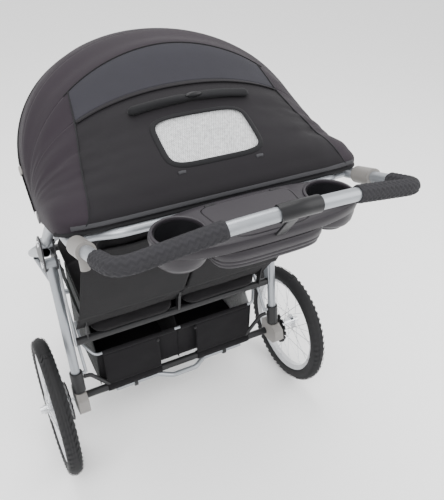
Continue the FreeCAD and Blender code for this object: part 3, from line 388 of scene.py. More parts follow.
# ------------------------------------------------------------ wheels
def tread_lug(bm, centre, ring_r, section, spread, width, lean, raised):
    """One curved rubber lug on the tyre's crown; spread is its two angles from the crown line in degrees."""
    made = bmesh.ops.create_grid(bm, x_segments=3, y_segments=1, size=0.5)["verts"]
    for corner in made:
        u, v = corner.co.x + 0.5, corner.co.y
        tilt = math.radians(spread[0] + (spread[1] - spread[0]) * u)
        turn = (v * width + lean * math.sin(math.pi * u * 0.9)) / ring_r
        reach = ring_r + (section + raised) * math.cos(tilt)
        corner.co = (centre[0] + (section + raised) * math.sin(tilt),
                     centre[1] + reach * math.sin(turn), centre[2] + reach * math.cos(turn))
    faces = list({f for corner in made for f in corner.link_faces})
    walls = bmesh.ops.extrude_face_region(bm, geom=faces)["geom"]
    for corner in walls:
        if isinstance(corner, bmesh.types.BMVert):
            flat = Vector((0, corner.co.y - centre[1], corner.co.z - centre[2])).normalized() * ring_r
            middle = Vector(centre) + flat
            corner.co = middle + (corner.co - middle) * ((section - 0.6) / (section + raised))
    return walls + made + faces


LUG_HEIGHT = 3.0


def tyre(name, node, body, centre, outer, section, lugs):
    """Round carcass with two rows of curved lugs on each side of its crown."""
    centre = Vector(centre)
    carcass, ring_r = section - LUG_HEIGHT, outer - section
    bm = bmesh.new()
    ring = bmesh.ops.create_circle(bm, cap_ends=False, radius=carcass, segments=28,
                                   matrix=Matrix.Translation(centre + Vector((0, 0, ring_r)))
                                   @ Matrix.Rotation(math.pi / 2, 4, "X"))
    bmesh.ops.spin(bm, geom=ring["verts"] + list(bm.edges), cent=centre, axis=(1, 0, 0), angle=2 * math.pi,
                   steps=120, use_merge=True)
    lug_row = []
    for side in (-1, 1):
        for near, far, width, lean in ((2.0, 13.0, 14.0, 3.0), (21.0, 62.0, 9.5, 7.0 * side)):
            spread = (side * near, side * far)
            lug_row += tread_lug(bm, centre, ring_r, carcass, spread, width, lean, LUG_HEIGHT)
    bmesh.ops.spin(bm, geom=list(set(lug_row)), cent=centre, axis=(1, 0, 0),
                   angle=2 * math.pi * (lugs - 1) / lugs, steps=lugs - 1, use_duplicate=True)
    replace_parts(piece(name, bm, rubber, body), node)


tyre("left_tyre_tread", "left_tyre", "rear_wheel_left", (WHEEL_X, 0, AXLE_Z), lugs=64, **REAR_TYRE)
tyre("right_tyre_tread", "right_tyre", "rear_wheel_right", (-WHEEL_X, 0, AXLE_Z), lugs=64, **REAR_TYRE)
tyre("front_tyre_tread", "front_tyre", "front_wheel", FRONT_AXLE, lugs=48, **FRONT_TYRE)


# ------------------------------------------------------------ handle: embossed foam
def bent_line(points, radius, step=3.0):
    """Points along a path whose corners are rounded to radius."""
    line = [points[0]]
    for before, corner, after in zip(points, points[1:], points[2:]):
        into, out = (corner - before).normalized(), (after - corner).normalized()
        angle = into.angle(out)
        room = min((corner - before).length, (after - corner).length) * 0.48
        set_back = min(radius * math.tan(angle / 2), room)
        begin, end = corner - into * set_back, corner + out * set_back
        arcs = max(2, int(set_back * 2 / step))
        for i in range(arcs + 1):
            t = i / arcs
            line.append(begin * (1 - t) ** 2 + corner * 2 * t * (1 - t) + end * t * t)
    line.append(points[-1])
    return line


def along(line, share):
    """The point and the direction at a share of a line's length."""
    lengths = [0.0]
    for a, b in zip(line, line[1:]):
        lengths.append(lengths[-1] + (b - a).length)
    want = share * lengths[-1]
    for i in range(1, len(line)):
        if lengths[i] >= want or i == len(line) - 1:
            span = max(lengths[i] - lengths[i - 1], 1e-6)
            t = min(1.0, max(0.0, (want - lengths[i - 1]) / span))
            return line[i - 1].lerp(line[i], t), (line[i] - line[i - 1]).normalized(), lengths[-1]


grip_line = bent_line(HANDLE[1:4], HANDLE_BEND)
GRIP_ROWS, GRIP_RIDGE, GRIP_PERIOD = 9, 0.9, 13.0
GRIP_CORE, GRIP_FOAM = 12.9, 3.3


def grip_point(side):
    """Surface of one foam grip: rows of zigzag ridges that run along it."""
    def place(u, v):
        centre, way, length = along(grip_line, u)
        across = way.cross(Vector((0, 0, 1))).normalized()
        up = across.cross(way)
        turn = 2 * math.pi * v
        run = u * length / GRIP_PERIOD
        zigzag = abs(2 * (run - math.floor(run + 0.5))) * 2 - 1
        ridge = math.sin(turn * GRIP_ROWS + zigzag * 1.9)
        end_round = min(1.0, (min(u, 1 - u) * length + 1.2) / 6.0) ** 0.5
        radius = GRIP_CORE + (GRIP_FOAM + GRIP_RIDGE * max(-1.0, min(1.0, ridge * 2.2))) * end_round
        spot = centre + across * (math.cos(turn) * radius) + up * (math.sin(turn) * radius)
        return on_side(spot, side)
    return place


for word, side in SIDES:
    bm = grid(150, 72, grip_point(side))
    bmesh.ops.remove_doubles(bm, verts=bm.verts, dist=0.02)
    bmesh.ops.recalc_face_normals(bm, faces=bm.faces)
    grip = piece("foam_grip_" + word, bm, foam, "upper_frame", sharp=80.0)
    thicken(grip, "Foam wall", 2.0)
    if side > 0:
        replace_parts(grip, "foam_grips")


# ------------------------------------------------------------ parent tray
TRAY_MIDDLE, TRAY_HALF, TRAY_DEEP = 391.5, 216.0, 74.0
TRAY_TOP, TRAY_SKIRT, TRAY_FLOOR = 950.0, 927.0, 885.0
CUP_X, CUP_Y, CUP_R = 162.0, 390.0, 47.0
LID_MIDDLE, LID_HALF, LID_DEEP = 392, 92, 62


def rounded_ring(bm, half_x, half_y, middle_y, z, power, count=120):
    """A closed ring of edges, squarer than an ellipse as power falls."""
    made = bmesh.ops.create_circle(bm, cap_ends=False, radius=1.0, segments=count)["verts"]
    for corner in made:
        c, s = corner.co.x, corner.co.y
        corner.co = (half_x * math.copysign(abs(c) ** power, c),
                     middle_y + half_y * math.copysign(abs(s) ** power, s), z)
    return made


def stacked(bm, rings, cap_first=True, cap_last=True):
    """Walls between rings of the same count, closed at the ends."""
    for lower, upper in zip(rings, rings[1:]):
        edges = {e for v in lower + upper for e in v.link_edges
                 if any(e.verts[0] in ring and e.verts[1] in ring for ring in (lower, upper))}
        bmesh.ops.bridge_loops(bm, edges=list(edges))
    for cap, wanted in ((rings[0], cap_first), (rings[-1], cap_last)):
        if wanted:
            bmesh.ops.contextual_create(bm, geom=cap)


def bmesh_object(name, bm):
    """A working object of the bmesh, for cutting."""
    bmesh.ops.recalc_face_normals(bm, faces=bm.faces)
    return linked(name, mesh_of(name, bm))


def lid_ring(bm, grow, z):
    """The lid's outline: wide and square at its hinge, narrower and rounder at the back."""
    made = bmesh.ops.create_circle(bm, cap_ends=False, radius=1.0, segments=72)["verts"]
    for corner in made:
        c, s = corner.co.x, corner.co.y
        along_y = math.copysign(abs(s) ** (0.45 if s > 0 else 0.25), s)
        half = LID_HALF - 9 * along_y + grow
        corner.co = (half * math.copysign(abs(c) ** 0.4, c), LID_MIDDLE + (LID_DEEP + grow) * along_y, z)
    return made


def tray_deck():
    """The deck with its rolled edge, open at the two cups and at the lid."""
    bm = bmesh.new()
    rings = [rounded_ring(bm, TRAY_HALF - inset, TRAY_DEEP - inset, TRAY_MIDDLE, z, 0.72)
             for inset, z in ((5.0, TRAY_SKIRT), (2.0, TRAY_SKIRT + 3), (0.0, 939), (0.4, 945), (2.0, 948.6),
                              (5.0, TRAY_TOP))]
    stacked(bm, rings)
    deck = bmesh_object("tray_deck", bm)
    cutters = []
    bm = bmesh.new()
    for side in (1, -1):
        bmesh.ops.create_cone(bm, cap_ends=True, segments=64, radius1=CUP_R, radius2=CUP_R, depth=90,
                              matrix=Matrix.Translation((side * CUP_X, CUP_Y, 940)))
    cutters.append(bmesh_object("cup_cutter", bm))
    bm = bmesh.new()
    stacked(bm, [lid_ring(bm, 0.9, 900), lid_ring(bm, 0.9, 980)])
    cutters.append(bmesh_object("lid_cutter", bm))
    for cutter in cutters:
        hole = deck.modifiers.new("Opening", "BOOLEAN")
        hole.operation = "DIFFERENCE"
        hole.object = cutter
    bake_modifiers(deck)
    for cutter in cutters:
        bpy.data.objects.remove(cutter)
    bm = bmesh.new()
    bm.from_mesh(deck.data)
    bpy.data.objects.remove(deck)
    return bm


deck = piece("tray_deck", tray_deck(), tray_plastic, "upper_frame", sharp=30.0)
soften = deck.modifiers.new("Rounded edges", "BEVEL")
soften.width = 0.0009
soften.segments = 2
soften.limit_method = "ANGLE"
soften.angle_limit = math.radians(40)
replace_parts(deck, "tray_body")

bm = bmesh.new()
stacked(bm, [lid_ring(bm, grow, z) for grow, z in ((-1.5, 945.4), (0.0, 946.2), (0.0, 949.2), (-1.4, 950.6))])
lid = piece("tray_lid_cover", bm, tray_plastic, "tray_lid", sharp=35.0)
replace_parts(lid, "tray_lid")
for word, side in SIDES:
    bm = bmesh.new()
    bmesh.ops.create_cone(bm, cap_ends=True, segments=20, radius1=3.6, radius2=3.6, depth=22,
                          matrix=Matrix.Translation((side * 72, 331, 948.6))
                          @ Matrix.Rotation(math.pi / 2, 4, "Y"))
    rounded(bm, [e for e in bm.edges if e.calc_face_angle(0) > 1], 0.8, 2)
    piece("tray_lid_hinge_" + word, bm, black_plastic, "tray_lid")

# The storage box under the deck narrows downwards, with ridges round its foot.
bm = bmesh.new()
BOX_STEPS = [(0, 928), (1, 908), (3.5, 905.5), (2.6, 903), (3.2, 899), (5.8, 896.8), (4.9, 894.4), (5.4, 890.5),
             (8.2, 888), (12, 886), (20, TRAY_FLOOR)]
stacked(bm, [rounded_ring(bm, 117 - inset, 70 - inset, TRAY_MIDDLE + 1, z, 0.42, 96) for inset, z in BOX_STEPS],
        cap_first=False)
box = piece("tray_storage_box", bm, tray_plastic, "upper_frame", sharp=50.0, closed=False)
thicken(box, "Box wall", 2.5, 0.0)


def spun(name, outline, side, material):
    """A turned piece of the cup on one side; outline is a closed ring of (radius, height) pairs."""
    bm = bmesh.new()
    line = [bm.verts.new((radius, 0, height)) for radius, height in outline]
    edges = [bm.edges.new(pair) for pair in zip(line, line[1:] + line[:1])]
    bmesh.ops.spin(bm, geom=line + edges, cent=(0, 0, 0), axis=(0, 0, 1), angle=2 * math.pi, steps=64,
                   use_merge=True)
    bmesh.ops.remove_doubles(bm, verts=bm.verts, dist=0.01)
    bm.transform(Matrix.Translation((side * CUP_X, CUP_Y, 0)))
    return piece(name, bm, material, "upper_frame")


BOWL_OUTLINE = [(CUP_R + 0.4, 930), (53.5, 930), (53.0, 916), (51.0, 904), (46.5, 896.5), (39, 893), (37, 887),
                (35, 886), (0, 886), (0, 888.6), (35, 888.6), (38, 896), (47, 908)]
LINER_OUTLINE = [(46.0, 947), (44.6, 947), (42.6, 912), (38.0, 902.5), (30, 900), (0, 900), (0, 897.8),
                 (31, 897.8), (40.0, 901.0), (45.0, 912)]
RIM_OUTLINE = [(46.2, 948), (46.0, 951), (47.2, 953.4), (49.6, 954.2), (52.0, 953.2), (53.2, 950.6),
               (53.0, 948)]
for word, side in SIDES:
    spun("cup_bowl_" + word, BOWL_OUTLINE, side, tray_plastic)
    liner = spun("cup_liner_" + word, LINER_OUTLINE, side, black_plastic)
    if side > 0:
        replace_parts(liner, "cup_liners")
    spun("cup_rim_" + word, RIM_OUTLINE, side, tray_plastic)

handle_line = bent_line(HANDLE + [mirror_x(p) for p in reversed(HANDLE[:-1])], HANDLE_BEND)
sleeve_line = [along(handle_line, 0.5 + t)[0] for t in (-0.042, -0.02, 0.0, 0.02, 0.042)]
sleeve = cord_piece("tray_clip_sleeve", sleeve_line, 15.8, black_plastic, "upper_frame",
                    sides=8)
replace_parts(sleeve, "tray_clip")
bm = bmesh.new()
bmesh.ops.create_cube(bm, size=1.0)
bm.transform(Matrix.Translation((0, 489, 980)) @ Matrix.Rotation(math.radians(-34), 4, "X")
             @ Matrix.Diagonal((22, 5, 84, 1)))
rounded(bm, bm.edges, 2.0, 3)
piece("tray_clip_arm", bm, black_plastic, "upper_frame")


# ------------------------------------------------------------ canopy
def station(angle):
    """Reach, side height and roundness of the canopy's section at an angle, smooth through the stations."""
    angle = min(max(angle, STATIONS[0][0]), STATIONS[-1][0])
    spot = next(i for i in range(len(STATIONS) - 1) if angle <= STATIONS[i + 1][0])
    a, b = STATIONS[spot], STATIONS[spot + 1]
    before, after = STATIONS[max(spot - 1, 0)], STATIONS[min(spot + 2, len(STATIONS) - 1)]
    span = b[0] - a[0]
    t = (angle - a[0]) / span
    values = []
    for k in (1, 2, 3):
        rise_a = (b[k] - before[k]) / max(b[0] - before[0], 1e-6) * span
        rise_b = (after[k] - a[k]) / max(after[0] - a[0], 1e-6) * span
        values.append((2 * t ** 3 - 3 * t * t + 1) * a[k] + (t ** 3 - 2 * t * t + t) * rise_a
                      + (3 * t * t - 2 * t ** 3) * b[k] + (t ** 3 - t * t) * rise_b)
    return values


def out_from_pivot(x, angle, reach):
    """A point at a reach from the pivot line, in the plane turned to angle."""
    turn = math.radians(angle)
    return PIVOT + Vector((x, reach * math.cos(turn), reach * math.sin(turn)))


def on_canopy(x, angle, lift=0.0):
    """The canopy's outer surface above x, folds and all, lifted off it along the reach."""
    reach, side, roundness = station(angle)
    share = max(0.0, 1 - abs(x / CLOTH_HALF) ** roundness) ** (1 / roundness)
    first, last = next((a, b) for a, b in zip(PANEL_EDGES, PANEL_EDGES[1:]) if angle <= b)
    return out_from_pivot(x, angle, side + (reach - side) * share + wrinkle(x, angle, first, last) + lift)


SIDE_FOOT = 17.0
section_cache = {}


def section_line(angle):
    """The section from the right pivot over the top to the left pivot, with its running length."""
    if angle not in section_cache:
        reach, side, roundness = station(angle)
        line = [(-CLOTH_HALF, SIDE_FOOT)]
        steps = 160
        for i in range(steps + 1):
            turn = math.pi * i / steps
            c, s = -math.cos(turn), math.sin(turn)
            line.append((CLOTH_HALF * math.copysign(abs(c) ** (2 / roundness), c),
                         side + (reach - side) * abs(s) ** (2 / roundness)))
        line.append((CLOTH_HALF, SIDE_FOOT))
        lengths = [0.0]
        for a, b in zip(line, line[1:]):
            lengths.append(lengths[-1] + math.dist(a, b))
        section_cache[angle] = (line, lengths)
    return section_cache[angle]


def canopy_point(share, angle):
    """The point a share of the way round the section."""
    line, lengths = section_line(round(angle, 4))
    want = share * lengths[-1]
    low, high = 0, len(lengths) - 1
    while high - low > 1:
        middle = (low + high) // 2
        if lengths[middle] <= want:
            low = middle
        else:
            high = middle
    t = (want - lengths[low]) / max(lengths[high] - lengths[low], 1e-6)
    x = line[low][0] + (line[high][0] - line[low][0]) * t
    reach = line[low][1] + (line[high][1] - line[low][1]) * t
    return x, reach


def wrinkle(x, angle, first, last):
    """How far the cloth stands off its smooth shape: sag between the bows and soft folds near the sides."""
    between = (angle - first) / (last - first)
    sag = -3.5 * math.sin(math.pi * between) ** 2 * (1 - (x / CLOTH_HALF) ** 2)
    near_side = min(1.0, abs(x) / 240) ** 3
    folds = noise.noise(Vector((x * 0.012, angle * 0.09, 3.1))) * 7.0 * near_side
    fine = noise.noise(Vector((x * 0.03, angle * 0.16, 9.7))) * 2.2 * near_side
    held = math.sin(math.pi * between) ** 0.7
    return sag + (folds + fine) * held


def canopy_sheet(name, first, last, columns, rows, material, node, keep=None):
    """One panel of the canopy between two angles."""
    def place(u, v):
        angle = first + (last - first) * v
        x, reach = canopy_point(u, angle)
        foot = min(1.0, max(0.0, (reach - SIDE_FOOT) / 60.0))
        return out_from_pivot(x, angle, reach + wrinkle(x, angle, first, last) * foot)
    sheet = cloth(name, columns, rows, place, material, None, thick=1.8, keep=keep,
                  outward=PIVOT)
    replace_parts(sheet, node)
    return sheet


def bend_between(obj):
    """Bakes the cloth's placing into its own mesh."""
    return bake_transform(obj)


WINDOW_HALF, WINDOW_LOW, WINDOW_HIGH, WINDOW_CORNER = 107.0, 41.0, 78.5, 24.0
WINDOW_REACH = 192.0


def in_window(x, angle, margin):
    """True inside the rounded window, grown by margin mm."""
    across = abs(x) - (WINDOW_HALF - WINDOW_CORNER)
    centre = (WINDOW_LOW + WINDOW_HIGH) / 2
    tall = math.radians(WINDOW_HIGH - WINDOW_LOW) / 2 * WINDOW_REACH
    up = abs(math.radians(angle - centre) * WINDOW_REACH) - (tall - WINDOW_CORNER)
    outside = math.hypot(max(across, 0.0), max(up, 0.0))
    return outside < WINDOW_CORNER + margin and across < WINDOW_CORNER + margin and up < WINDOW_CORNER + margin


def window_outline(turns, inset):
    """Points round the window, inset mm in from its edge."""
    tall = math.radians(WINDOW_HIGH - WINDOW_LOW) / 2 * WINDOW_REACH
    centre = (WINDOW_LOW + WINDOW_HIGH) / 2
    loop = []
    for i in range(turns):
        turn = 2 * math.pi * i / turns
        c, s = math.cos(turn), math.sin(turn)
        x = math.copysign(abs(c) ** 0.36, c) * (WINDOW_HALF - inset)
        up = math.copysign(abs(s) ** 0.36, s) * (tall - inset)
        loop.append((x, centre + math.degrees(up / WINDOW_REACH)))
    return loop


def keep_round_window(u, v):
    """Squares of the rear panel outside the window."""
    angle = HEM + (BAND - HEM) * v
    x, reach = canopy_point(u, angle)
    return not in_window(x, angle, -2.0) or reach < 150


# Side seam: angle, and how far out it runs there.
CREST_LINE = [(17, 322), (19, 300), (23, 288), (30, 281), (42, 273), (59, 264), (76, 255), (90, 246),
              (101, 239), (108, 235), (115, 229)]


def crest_at(angle):
    """How far out the side seam runs at an angle."""
    for (low, near), (high, far) in zip(CREST_LINE, CREST_LINE[1:]):
        if angle <= high:
            return near + (far - near) * (angle - low) / (high - low)
    return CREST_LINE[-1][1]


def side_cloth(sheet):
    """Outside the side seam the canopy is of the front's cloth."""
    sheet.data.materials.append(cover_front)
    back = PLACE.inverted()
    for face in sheet.data.polygons:
        spot = back @ face.center - PIVOT
        if abs(spot.x) > crest_at(math.degrees(math.atan2(spot.z, spot.y))):
            face.material_index = 1


rear = canopy_sheet("canopy_rear_cloth", HEM, BAND, 220, 72, cover_rear, "canopy_rear_panel", keep_round_window)
lens = canopy_sheet("canopy_lens_cloth", BAND, SEAM, 160, 18, cover_lens, "canopy_top_panel")
crown = canopy_sheet("canopy_crown_cloth", SEAM, CREST, 160, 20, cover_front, "canopy_top_panel")
visor = canopy_sheet("canopy_visor_cloth", CREST, VISOR, 160, 26, cover_front, "canopy_visor_panel")
side_cloth(rear)
side_cloth(lens)


def strip_on_canopy(name, line, width, lift, material, rise, loop=False):
    """A flat tape sewn to the canopy along a line of (x, angle) places."""
    spots = [on_canopy(x, angle, lift) for x, angle in line]
    count = len(spots)

    def place(u, v):
        i = u * (count if loop else count - 1)
        low = int(i) % count
        high = (low + 1) % count if loop else min(low + 1, count - 1)
        here = spots[low].lerp(spots[high], i - int(i))
        before = spots[(low - 1) % count] if loop else spots[max(low - 1, 0)]
        after = spots[(high + 1) % count] if loop else spots[min(high + 1, count - 1)]
        way = (after - before).normalized()
        outward = here - PIVOT
        outward.x *= 0.25
        outward = (outward - way * outward.dot(way)).normalized()
        across = way.cross(outward)
        return here + across * (v - 0.5) * width + outward * rise * math.sin(math.pi * v)
    return cloth(name, count * 2, 4, place, material, None, thick=1.2, outward=PIVOT,
                 loop=loop)


mesh_pane = cloth("window_mesh_pane", 40, 28,
                  lambda u, v: on_canopy((u - 0.5) * 2 * (WINDOW_HALF + 7), WINDOW_LOW - 2.2
                                         + (WINDOW_HIGH - WINDOW_LOW + 4.4) * v, -3.4),
                  mesh_grey, None, thick=0.6, outward=PIVOT)
binding = strip_on_canopy("window_binding", window_outline(72, -1.0), 12.0, 1.2, cover_edge, rise=1.4,
                          loop=True)
tips = [-237 + 474 * i / 40 for i in range(41)]
band = strip_on_canopy("canopy_band", [(x, BAND - 1.5) for x in tips], 11.0, 1.0, cover_rear, rise=2.2)
hem_line = [-322 + 644 * i / 60 for i in range(61)]
hem_tape = strip_on_canopy("canopy_hem_tape", [(x, HEM + 3.6) for x in hem_line], 9.0, 1.2, hem_grey, rise=0.6)
for soft in (rear, mesh_pane, binding, band):
    bend_between(soft)
for soft in (lens, crown):
    bend_between(soft)
bend_between(visor)
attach(hem_tape, "upper_frame")

hem_edge = [on_canopy(x, HEM, -1.0) for x in [-346, -335] + hem_line + [335, 346]]
cord_piece("canopy_hem_binding", hem_edge, 4.6, cover_edge, "upper_frame")
cord_piece("canopy_seam_piping", [on_canopy(x, SEAM, 1.0) for x in range(-240, 241, 16)], 1.8, cover_rear,
           "canopy_mid")
for word, side in SIDES:
    for name, angles, body in (("canopy_side_piping_", (19, 23, 28, 34, 42, 50, 59), "upper_frame"),
                               ("canopy_crest_piping_", (59, 68, 76, 84, 92, 101, 108, 115), "canopy_mid")):
        cord_piece(name + word, [on_canopy(side * crest_at(a), a, 1.2) for a in angles], 1.7, cover_edge, body)
cord_piece("canopy_front_binding", [out_from_pivot(x, VISOR + 0.4, reach) for x, reach in
                                    (canopy_point(i / 60, VISOR) for i in range(61))], 3.6, cover_edge,
           "canopy_visor")


ROLL_HALF, ROLL_ANGLE = 139.0, 87.0


def roll_point(u, v):
    """The rolled flap: a slack tube of cloth with lengthways creases."""
    x = (u - 0.5) * 2 * ROLL_HALF
    turn = 2 * math.pi * v
    taper = min(1.0, (min(u, 1 - u) * 2 * ROLL_HALF + 2) / 9.0) ** 0.5
    pinch = 1 - 0.22 * math.exp(-(x / 16) ** 2)
    crease = 1 + 0.07 * math.sin(turn * 3 + x * 0.02) + 0.05 * noise.noise(Vector((x * 0.05, v * 3, 1.0)))
    size = 10.5 * taper * pinch * crease
    centre = on_canopy(x, ROLL_ANGLE, 7.5)
    way = (out_from_pivot(0, ROLL_ANGLE, 1) - PIVOT).normalized()
    across = Vector((1, 0, 0)).cross(way)
    return centre + way * math.sin(turn) * size * 0.82 + across * math.cos(turn) * size


bm = grid(90, 26, roll_point)
bmesh.ops.remove_doubles(bm, verts=bm.verts, dist=0.02)
bmesh.ops.holes_fill(bm, edges=bm.edges, sides=0)
piece("window_flap_roll", bm, cover_edge, "canopy_mid", sharp=80.0)
bm = bmesh.new()
bmesh.ops.create_uvsphere(bm, u_segments=24, v_segments=12, radius=1.0)
bm.transform(Matrix.Translation(on_canopy(-4, ROLL_ANGLE - 1.5, 17.0)) @ Matrix.Diagonal((19, 6.0, 6.0, 1)))
piece("window_flap_toggle", bm, black_plastic, "canopy_mid")
for word, side in SIDES:
    tab_line = [(side * (88 + i * 4), 37.5 - 0.15 * abs(i)) for i in range(-2, 3)]
    strip = strip_on_canopy("vent_tab_" + word, tab_line, 6.5, 1.0, hem_grey, rise=1.0)
    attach(strip, "upper_frame")

stay = [out_from_pivot(x, VISOR - 0.5, reach)
        for x, reach in ((353.5, 12), (353.5, 60), (353.5, 118), (352.0, 150))]


def flat_bar(name, points, width, thick, material, body):
    """A flat metal strip through points, wide along Y and Z and thin along X."""
    def place(u, v):
        here, way, _ = along(points, u)
        across = way.cross(Vector((1, 0, 0))).normalized()
        return here + across * (v - 0.5) * width
    bm = grid(12, 2, place)
    bmesh.ops.solidify(bm, geom=bm.faces, thickness=thick)
    return piece(name, bm, material, body)


for word, side in SIDES:
    ends = [on_side(p, side) for p in stay]
    flat_bar("canopy_stay_" + word, ends, 8.0, 1.6, bright, "canopy_visor")
    bm = bmesh.new()
    bmesh.ops.create_cube(bm, size=1.0)
    rounded(bm, bm.edges, 0.18, 3)
    bm.transform(Matrix.Translation(ends[2]) @ Matrix.Rotation(math.radians(VISOR), 4, "X")
                 @ Matrix.Diagonal((6, 20, 13, 1)))
    piece("canopy_stay_slider_" + word, bm, plate_grey, "canopy_visor")


# ------------------------------------------------------------ seats
PAD_VOXEL, SWELL_CAP, SWELL_FRAMES = 0.006, 0.008, 20
CHANNEL_DEPTH, CHANNEL_WIDTH = 0.0065, 0.007


def filled(obj, body, node):
    """A pad that rides on body and shows in the node's place."""
    placed(obj, body, "seat_fabric")
    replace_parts(obj, node)


def pad(name, length, thick, edge, place_matrix, node, body, channels):
    """A padded panel: a crowned pillow, simulated, with sewn channels across it."""
    bm = bmesh.new()
    bmesh.ops.create_cube(bm, size=1.0)
    bm.transform(Matrix.Diagonal((SEAT_HALF * 2 - 8, length - 8, thick - 12, 1)))
    rounded(bm, [e for e in bm.edges if abs((e.verts[0].co - e.verts[1].co).z) > 1], edge, 5)
    rounded(bm, [e for e in bm.edges if abs((e.verts[0].co - e.verts[1].co).z) < 0.1
                 and len(e.link_faces) == 2 and e.calc_face_angle(0) > 1.0], (thick - 12) * 0.42, 4)
    bm.transform(Matrix.Scale(0.001, 4))
    obj = linked(name, mesh_of(name, bm))
    remesh = obj.modifiers.new("Even mesh", "REMESH")
    remesh.mode = "VOXEL"
    remesh.voxel_size = PAD_VOXEL
    bake_modifiers(obj)
    before = [v.co.copy() for v in obj.data.vertices]
    swell = obj.modifiers.new("Filling", "CLOTH")
    swell.settings.use_pressure = True
    swell.settings.uniform_pressure_force = 4.0
    swell.settings.effector_weights.gravity = 0.0
    swell.settings.quality = 5
    for step in range(1, SWELL_FRAMES + 1):
        scene.frame_set(step)
    bake_modifiers(obj)
    scene.frame_set(1)
    half_long, half_thick = length * 0.0005, thick * 0.0005
    for point, start in zip(obj.data.vertices, before):
        moved = point.co - start
        if moved.length > SWELL_CAP:
            point.co = start + moved * (SWELL_CAP / moved.length)
        dip = 0.0
        for channel in channels:
            dip = max(dip, math.exp(-((point.co.y - channel * half_long) / CHANNEL_WIDTH) ** 2))
        point.co.z -= math.copysign(CHANNEL_DEPTH, point.co.z) * dip * (1 - (point.co.x / 0.14) ** 4)
        point.co.z = max(-half_thick, min(half_thick, point.co.z))
        point.co.z += 0.0006 * noise.noise(Vector((point.co.x * 40, point.co.y * 40, point.co.z * 40)))
    obj.data.transform(PLACE @ place_matrix @ Matrix.Scale(1000, 4))
    smooth = obj.modifiers.new("Soft surface", "SUBSURF")
    smooth.levels = smooth.render_levels = 1
    bake_modifiers(obj)
    obj.data.materials.clear()
    obj.data.materials.append(seat_cloth)
    obj.data.shade_smooth()
    filled(obj, body, node)
    return obj


def leaning(middle, degrees):
    """The place of a left seat's pad: its middle, turned about X."""
    return Matrix.Translation((SEAT_X, middle.y, middle.z)) @ Matrix.Rotation(math.radians(degrees), 4, "X")


PAN_MIDDLE, BACK_MIDDLE = Vector((0, -172.7, 472.2)), Vector((0, 89.2, 659.2))
PAN_TILT, BACK_TILT = -14.42, -64.0
PAN_UP = Vector((0, 0.249, 0.968))
BACK_OUT = Vector((0, -0.899, 0.438))
BACK_UP = Vector((0, 0.438, 0.899))
pan_place = leaning(PAN_MIDDLE, PAN_TILT)
back_place = leaning(BACK_MIDDLE, 180 - BACK_TILT)
pan = pad("seat_pan_pad_left", 395, 36, 40, pan_place, "seat_pan_left", "front_frame", (-0.35, 0.3))
back = pad("seat_back_pad_left", 410, 34, 46, back_place, "seat_back_left", "seat_back_left",
           (-0.45, 0.0, 0.45))
for source, name, node, body in ((pan, "seat_pan_pad_right", "seat_pan_right", "front_frame"),
                                 (back, "seat_back_pad_right", "seat_back_right", "seat_back_right")):
    twin = linked(name, source.data.copy())
    twin.data.transform(Matrix.Diagonal((-1, 1, 1, 1)))
    twin.data.flip_normals()
    filled(twin, body, node)


WEBBING_WIDTH = 32


def strap(name, points, body):
    """Webbing along points, its width across the seat."""
    line = bent_line([Vector(p) for p in points], 20.0, step=6.0)
    sideways = Vector((1, 0, 0))

    def place(u, v):
        here, way, _ = along(line, u)
        across = (sideways - way * sideways.dot(way)).normalized()
        return here + across * (v - 0.5) * WEBBING_WIDTH
    length = along(line, 0)[2]
    obj = cloth(name, max(8, int(length / 8)), 4, place, webbing, body)


# Shoulder strap: place along the back, height over it, and share of the way in to the seat's middle.
SHOULDER_RUN = ((176, 19.5, 0), (120, 20.5, 0), (20, 20.5, 0.1), (-90, 22, 0.3), (-150, 30, 0.5))
for word, side in SIDES:
    seat = side * SEAT_X
    for inner in (-1, 1):
        x = seat + inner * 52
        shoulder = [BACK_MIDDLE + BACK_UP * a + BACK_OUT * b + Vector((x + (seat - x) * c, 0, 0))
                    for a, b, c in SHOULDER_RUN]
        strap(f"shoulder_strap_{word}_{'outer' if inner == side else 'inner'}", shoulder, "seat_back_" + word)
    crotch = [PAN_MIDDLE + Vector((seat, y, y * -0.257)) + PAN_UP * lift
              for y, lift in ((-70, 19.5), (-20, 20), (14, 21))]
    strap("crotch_strap_" + word, crotch, "front_frame")

    def wing(u, v, side=side):
        bottom = Vector((268, -330 + 318 * u, 512 - 86 * u))
        top = Vector((300, -210 + 190 * u, 640 - 20 * math.sin(math.pi * u)))
        here = bottom.lerp(top, v) + Vector((6 * math.sin(math.pi * v), 0, 0))
        return on_side(here, side)
    panel = cloth("seat_side_cloth_" + word, 24, 14, wing, seat_panel, "front_frame",
                  outward=(0, -150, 560))

    def hammock(u, v, side=side):
        flat = Vector((4 + 290 * u, 0, 0)) + BACK_MIDDLE + BACK_UP * (-150 + 330 * v) - BACK_OUT * (
            22 + 7 * math.sin(math.pi * u) * math.sin(math.pi * v))
        fold = 2.5 * noise.noise(Vector((u * 4, v * 2.2, 5.0)))
        here = flat - BACK_OUT * fold
        return on_side(here, side)
    panel = cloth("seat_hammock_" + word, 36, 36, hammock, seat_cloth, "seat_back_" + word,
                  outward=(0, -150, 700))

    def apron(u, v, side=side):
        top = BACK_MIDDLE + BACK_UP * -138 - BACK_OUT * 16
        here = Vector((4 + 290 * u, top.y, top.z)).lerp(Vector((4 + 290 * u, -22, 432)), v)
        here -= BACK_OUT * (5 * math.sin(math.pi * u) * math.sin(math.pi * v))
        return on_side(here, side)
    panel = cloth("seat_apron_" + word, 30, 10, apron, seat_cloth, "front_frame",
                  outward=(0, -150, 560))


# ------------------------------------------------------------ storage basket
BASKET_HALF = 251.0


def basket_sag(x, y):
    """How far the floor hangs below its hem at a place."""
    return 7.0 * (1 - (x / BASKET_HALF) ** 2) * max(0.0, 1 - ((y + 150) / 145) ** 2)


